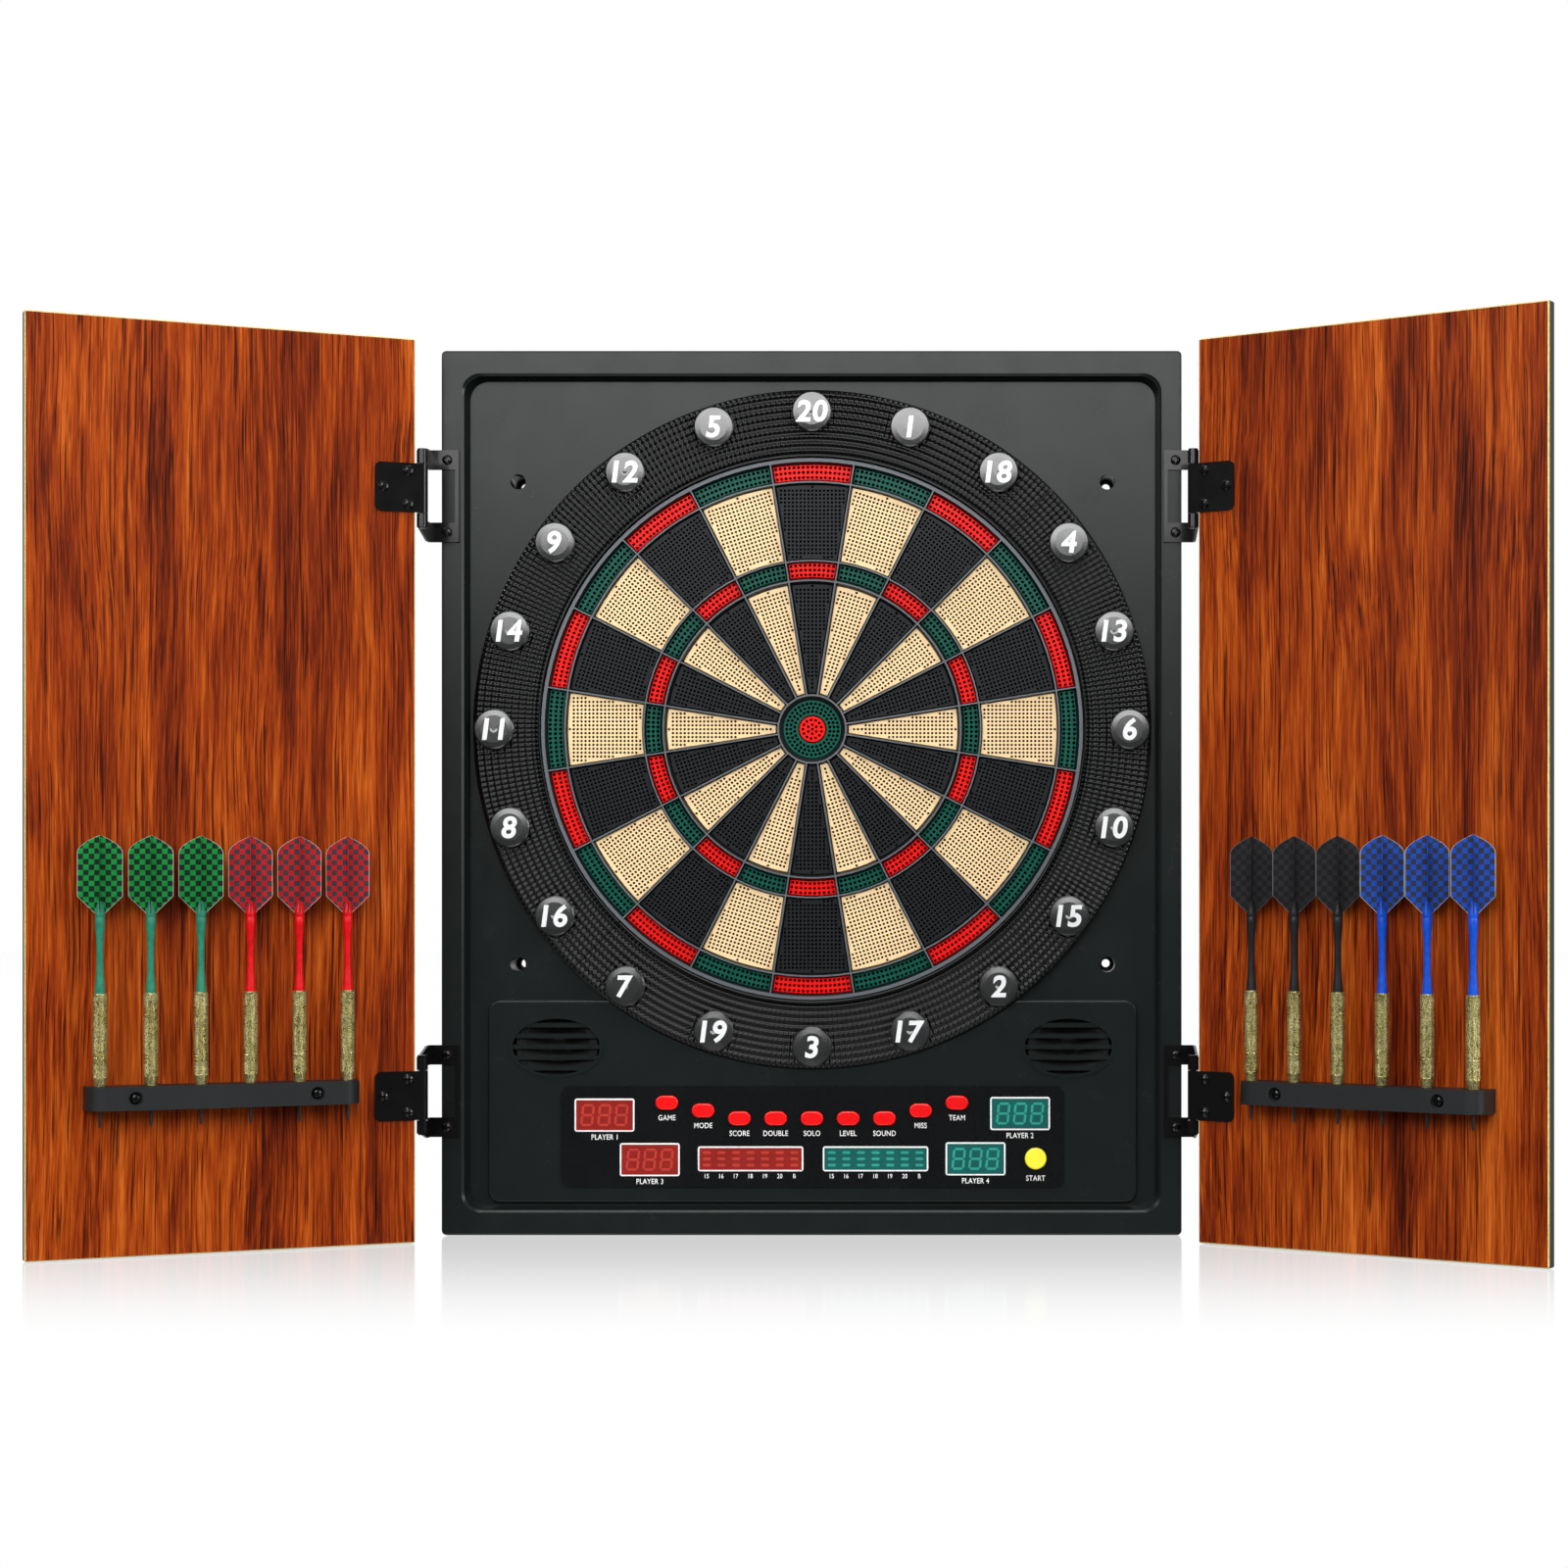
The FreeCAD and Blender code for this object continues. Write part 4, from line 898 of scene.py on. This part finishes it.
def flight_half_width(z):
    """Half width of the wing at a height above its foot."""
    foot, shoulder = 10.0, FLIGHT_LEN - 10.5
    if z < foot:
        return 3.0 + (FLIGHT_HALF - 3.0) * z / foot
    if z < shoulder:
        return FLIGHT_HALF
    drop = (z - shoulder) / (FLIGHT_LEN - shoulder)
    return FLIGHT_HALF * max(0.0, 1.0 - drop ** 1.9)


def flight_shape():
    """Four wings of film, one pair with a pale rim of painted highlight; kinds are 0 film and 1 rim."""
    shape = Shape()
    marks = []
    heights = [0.0, 5.0, 10.0, 20.0, 30.0] + [FLIGHT_LEN - 10.5 + 10.5 * (i / 10.0) for i in range(11)]
    thin = 0.17
    rim = 0.28
    for k in range(4):
        turn = Matrix.Rotation(k * math.pi / 2.0, 4, "Z")
        rows = []
        for z in heights:
            width = max(0.35, flight_half_width(z))
            row = []
            inner = max(0.2, width - rim)
            for across, side in ((0.0, -thin), (inner, -thin), (width, -thin), (width, thin),
                                 (inner, thin), (0.0, thin)):
                row.append(turn @ Vector((across, side, z)))
                marks.append((across if k < 2 else -across, z))
            rows.append(shape.add_points(row))
        for low, high in zip(rows, rows[1:]):
            # only the face-on wings (k = 0 and 2) get the painted-highlight rim; the other pair is plain
            # film
            for i, kind in enumerate((0, 1, 1, 1, 0) if k % 2 == 0 else (0, 0, 0, 0, 0)):
                shape.add_face([low[i], low[i + 1], high[i + 1], high[i]], kind)
        shape.add_face(rows[0][::-1], 1)
        shape.add_face(rows[-1], 1)
    return shape, marks


def shaft_shape():
    top = BARREL_LEN + SHAFT_LEN
    low = BARREL_LEN
    profile = [(0.0, low - 0.9), (3.1, low - 0.9), (3.1, low + 0.2), (3.0, low + 3.0),
               (2.75, low + 6.0), (2.3, low + 11.0), (2.1, low + 16.0), (2.1, low + 28.0),
               (2.3, low + 33.0), (2.75, low + 38.0), (2.95, low + 41.0), (2.95, top - 3.0),
               (2.8, top - 2.6), (2.95, top - 2.2), (2.9, top), (2.5, top + 2.0),
               (1.7, top + 5.0), (1.0, top + 7.0), (0.0, top + 7.4)]
    return turned_shape(profile, 28)


def tip_shape():
    profile = [(0.0, -TIP_LEN), (0.7, -TIP_LEN + 0.1), (0.9, -TIP_LEN + 1.5), (TIP_R, -TIP_LEN + 6.0),
               (TIP_R, -2.5), (1.6, -1.6), (2.4, -0.6), (2.4, 0.0), (0.0, 0.0)]
    return turned_shape(profile, 20)


def dart_looks():
    """Shaft and flight materials for the four sets of three darts."""
    # pale rim colours are painted highlight along the wing edges, dimmer on the black flights
    edge = printed_ink("flight_rim_painted_highlight", colour(190, 192, 186))
    dark_painted_rim_highlight = printed_ink("flight_edge_dark", colour(90, 92, 92))
    green = (plain_film("shaft_green", colour(44, 130, 102)),
             checkered_film("flight_green", colour(8, 140, 56), colour(16, 34, 28), CHECKER), edge)
    red = (plain_film("shaft_red", colour(216, 10, 20)),
           checkered_film("flight_red", colour(184, 22, 30), colour(60, 54, 60), CHECKER), edge)
    black = (plain_film("shaft_black", colour(34, 34, 36)),
             checkered_film("flight_black", colour(20, 20, 22), colour(36, 36, 39), CHECKER), dark_painted_rim_highlight)
    blue = (plain_film("shaft_blue", colour(16, 80, 204)),
            checkered_film("flight_blue", colour(24, 72, 176), colour(44, 50, 66), CHECKER), edge)
    return {"dart_left": [red] * 3 + [green] * 3, "dart_right": [black] * 3 + [blue] * 3}


def add_darts():
    parts = {"tip": tip_shape(), "barrel": barrel_shape(), "shaft": shaft_shape()}
    wings, wing_marks = flight_shape()
    looks = dart_looks()
    for side, wing_angle in WING_ANGLES.items():
        turn = Matrix.Rotation(math.radians(wing_angle), 4, "Z")
        for number in range(1, 7):
            node = "dart_" + side + "_" + str(number)
            shaft_look, film, edge = looks["dart_" + side][number - 1]
            low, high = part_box(node)
            middle = (low + high) / 2.0 / MM
            spin = Matrix.Translation((middle.x, middle.y, low.z / MM + TIP_LEN)) @ turn
            for part, materials in (("tip", [TIP]), ("barrel", [BRASS]), ("shaft", [shaft_look])):
                shape = Shape()
                shape.append(parts[part], spin)
                smooth = () if part == "barrel" else (0,)
                dress_dart(shape.build(part + "_" + side + "_" + str(number), materials, smooth), node)
            shape = Shape()
            shape.append(wings, spin @ Matrix.Translation((0, 0, BARREL_LEN + SHAFT_LEN)))
            piece = shape.build("flight_" + side + "_" + str(number), [film, edge], uv=wing_marks)
            dress_dart(piece, node)


def dress_dart(piece, node):
    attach(piece, node + "_body")
    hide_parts(node)


# materials on the frame's own nodes
def paint(node, material):
    mesh = NODES[node].data
    mesh.materials.clear()
    mesh.materials.append(material)
    mesh.polygons.foreach_set("material_index", [0] * len(mesh.polygons))


def ease_edges(node, width):
    """Small rounding so that edges catch the light."""
    bevel = NODES[node].modifiers.new("eased", "BEVEL")
    bevel.width = width * MM
    bevel.segments = 2
    bevel.limit_method = "ANGLE"
    bevel.angle_limit = math.radians(50.0)
    bevel.harden_normals = True


def paint_spider():
    mesh = NODES["spider"].data
    mesh.materials.clear()
    mesh.materials.append(WEB_WALL_SHADED)
    mesh.materials.append(WEB_TOP)
    top = min(vertex.co.y for vertex in mesh.vertices) + 0.05 * MM
    # front faces take the top colour; all other faces take the painted shade of the walls
    mesh.polygons.foreach_set("material_index", [int(face.center.y < top) for face in mesh.polygons])


def paint_doors():
    """Laminate on both faces, dark narrow edges, bare core on the chamfers."""
    for side, turn_sign in (("left", 1.0), ("right", -1.0)):
        angle = turn_sign * math.radians(-JOINTS["door_" + side + "_hinge"]["range_deg"][0])
        across = Vector((-math.sin(angle), math.cos(angle), 0.0))
        mesh = NODES["door_" + side].data
        mesh.materials.clear()
        for material in (WOOD, DOOR_EDGE_DARK, CORE):
            mesh.materials.append(material)
        kinds = []
        for face in mesh.polygons:
            lean = abs(face.normal.dot(across))
            kinds.append(0 if lean > 0.9 else 1 if lean < 0.1 else 2)
        mesh.polygons.foreach_set("material_index", kinds)


def paint_nodes():
    plain = {
        "front_shell": CASE, "rear_shell": CASE, "number_discs": DISC, "rubber_mat": RUBBER,
        "keypad": RUBBER, "sensor_sheet": SHEET, "backing_plate": HARDBOARD,
        "control_plate": PLATE, "windows_red": LENS_RED, "windows_green": LENS_GREEN,
        "circuit_board": CIRCUIT, "speakers": SPEAKER_STEEL, "dc_jack": RING, "inner_screws": ZINC,
        "hinge_brackets": BLACK_STEEL, "hinge_pins": BLACK_STEEL, "hinge_leaves_left": BLACK_STEEL,
        "hinge_leaves_right": BLACK_STEEL, "bracket_screws": BLACK_STEEL,
        "door_screws_left": BLACK_STEEL, "door_screws_right": BLACK_STEEL,
        "dart_holder_left": HOLDER, "dart_holder_right": HOLDER, "button_start": BUTTON_YELLOW,
    }
    for node in NODES:
        if node.startswith("button_") and node != "button_start":
            plain[node] = BUTTON_RED
    for node, material in plain.items():
        paint(node, material)
    paint_spider()
    paint_doors()
    for node in ("hinge_brackets", "hinge_leaves_left", "hinge_leaves_right"):
        ease_edges(node, 0.25)


# stage
def add_panel_light(name, place_at, aim_at, size, power, shade=(1.0, 1.0, 1.0)):
    light = bpy.data.lights.new(name, "AREA")
    light.shape = "RECTANGLE"
    light.size, light.size_y = size
    light.energy = power
    light.color = shade
    lamp = bpy.data.objects.new(name, light)
    lamp.location = place_at
    lamp.rotation_euler = (Vector(aim_at) - Vector(place_at)).to_track_quat("-Z", "Y").to_euler()
    bpy.context.scene.collection.objects.link(lamp)


def camera_share(tree, dim):
    """1 for what the camera sees directly, dim for every other ray."""
    path = tree.nodes.new("ShaderNodeLightPath")
    level = tree.nodes.new("ShaderNodeMapRange")
    level.inputs["To Min"].default_value = dim
    tree.links.new(path.outputs["Is Camera Ray"], level.inputs["Value"])
    return level.outputs["Result"]


def add_world():
    """White behind the object, dim in front of it, and plain white for the camera."""
    world = bpy.data.worlds.new("studio")
    world.use_nodes = True
    tree = world.node_tree
    direction = tree.nodes.new("ShaderNodeTexCoord").outputs["Generated"]
    split = tree.nodes.new("ShaderNodeSeparateXYZ")
    tree.links.new(direction, split.inputs["Vector"])
    back = tree.nodes.new("ShaderNodeMapRange")
    for name, value in (("From Min", WORLD_SPLIT[0]), ("From Max", WORLD_SPLIT[1]), ("To Min", WORLD_DIM)):
        back.inputs[name].default_value = value
    tree.links.new(split.outputs["Y"], back.inputs["Value"])
    level = tree.nodes.new("ShaderNodeMath")
    level.operation = "MAXIMUM"
    tree.links.new(back.outputs["Result"], level.inputs[0])
    tree.links.new(camera_share(tree, 0.0), level.inputs[1])
    background = tree.nodes["Background"]
    background.inputs["Color"].default_value = (1.0, 1.0, 1.0, 1.0)
    tree.links.new(level.outputs["Value"], background.inputs["Strength"])
    bpy.context.scene.world = world


def floor_material():
    """White sweep whose mirror reflection fades towards the camera."""
    material = bpy.data.materials.new("floor_sweep")
    material.use_nodes = True
    tree = material.node_tree
    tree.nodes.clear()
    split = tree.nodes.new("ShaderNodeSeparateXYZ")
    tree.links.new(tree.nodes.new("ShaderNodeTexCoord").outputs["Object"], split.inputs["Vector"])
    fade = tree.nodes.new("ShaderNodeMapRange")
    fade.interpolation_type = "SMOOTHSTEP"
    for name, value in (("From Min", FLOOR_FADE[0]), ("From Max", FLOOR_FADE[1]), ("To Max", FLOOR_MIRROR)):
        fade.inputs[name].default_value = value
    tree.links.new(split.outputs["Y"], fade.inputs["Value"])
    white = tree.nodes.new("ShaderNodeEmission")
    tree.links.new(camera_share(tree, FLOOR_DIM), white.inputs["Strength"])
    mirror = tree.nodes.new("ShaderNodeBsdfAnisotropic")
    mirror.inputs["Color"].default_value = (1.0, 1.0, 1.0, 1.0)
    mirror.inputs["Roughness"].default_value = 0.1
    mix = tree.nodes.new("ShaderNodeMixShader")
    tree.links.new(fade.outputs["Result"], mix.inputs[0])
    tree.links.new(white.outputs["Emission"], mix.inputs[1])
    tree.links.new(mirror.outputs["BSDF"], mix.inputs[2])
    tree.links.new(mix.outputs["Shader"], tree.nodes.new("ShaderNodeOutputMaterial").inputs["Surface"])
    return material


def add_floor():
    floor_z = CAD_BOX[0][2] - 0.0005
    reach = 8.0
    corners = [(x * reach, y * reach, floor_z) for x, y in ((-1, -1), (1, -1), (1, 1), (-1, 1))]
    mesh = bpy.data.meshes.new("floor")
    mesh.from_pydata(corners, [], [(0, 1, 2, 3)])
    mesh.materials.append(floor_material())
    floor = bpy.data.objects.new("floor", mesh)
    bpy.context.scene.collection.objects.link(floor)


def add_lights():
    """A wide panel above and behind the camera, and smaller ones left, right and above."""
    add_panel_light("panel_behind", (-0.05, -2.35, 0.92), (0.0, 0.0, 0.05), (2.1, 1.1), 46.0)
    add_panel_light("left_front", (-1.6, -1.9, 0.7), (0.0, 0.0, -0.05), (0.5, 0.9), 16.0)
    add_panel_light("right_side", (1.9, -1.1, 0.4), (0.0, 0.0, -0.05), (0.6, 1.0), 20.0)
    add_panel_light("rake_top", (0.0, -0.8, 1.9), (0.0, -0.05, 0.0), (1.8, 0.5), 20.0)


def add_camera():
    """View square to the case, from a little right of its middle and below it."""
    case_low, case_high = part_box("front_shell")
    rim_y = case_low.y
    case_x = (case_low.x + case_high.x) / 2.0
    case_z = (case_low.z + case_high.z) / 2.0
    lens_data = bpy.data.cameras.new("camera")
    lens_data.sensor_width = 36.0
    lens_data.lens = 70.7
    lens_data.shift_x = -0.1375
    lens_data.shift_y = 0.063
    camera = bpy.data.objects.new("camera", lens_data)
    camera.location = (case_x + 0.1199, rim_y - 1.9634, case_z - 0.0573)
    camera.rotation_euler = (math.pi / 2.0, 0.0, 0.0)
    bpy.context.scene.collection.objects.link(camera)
    bpy.context.scene.camera = camera
    bpy.context.scene.view_settings.view_transform = "Standard"


add_camera()
add_world()
add_floor()
add_lights()
paint_nodes()
add_segments()
add_catch_ring()
add_numbers()
add_displays()
add_labels()
add_darts()
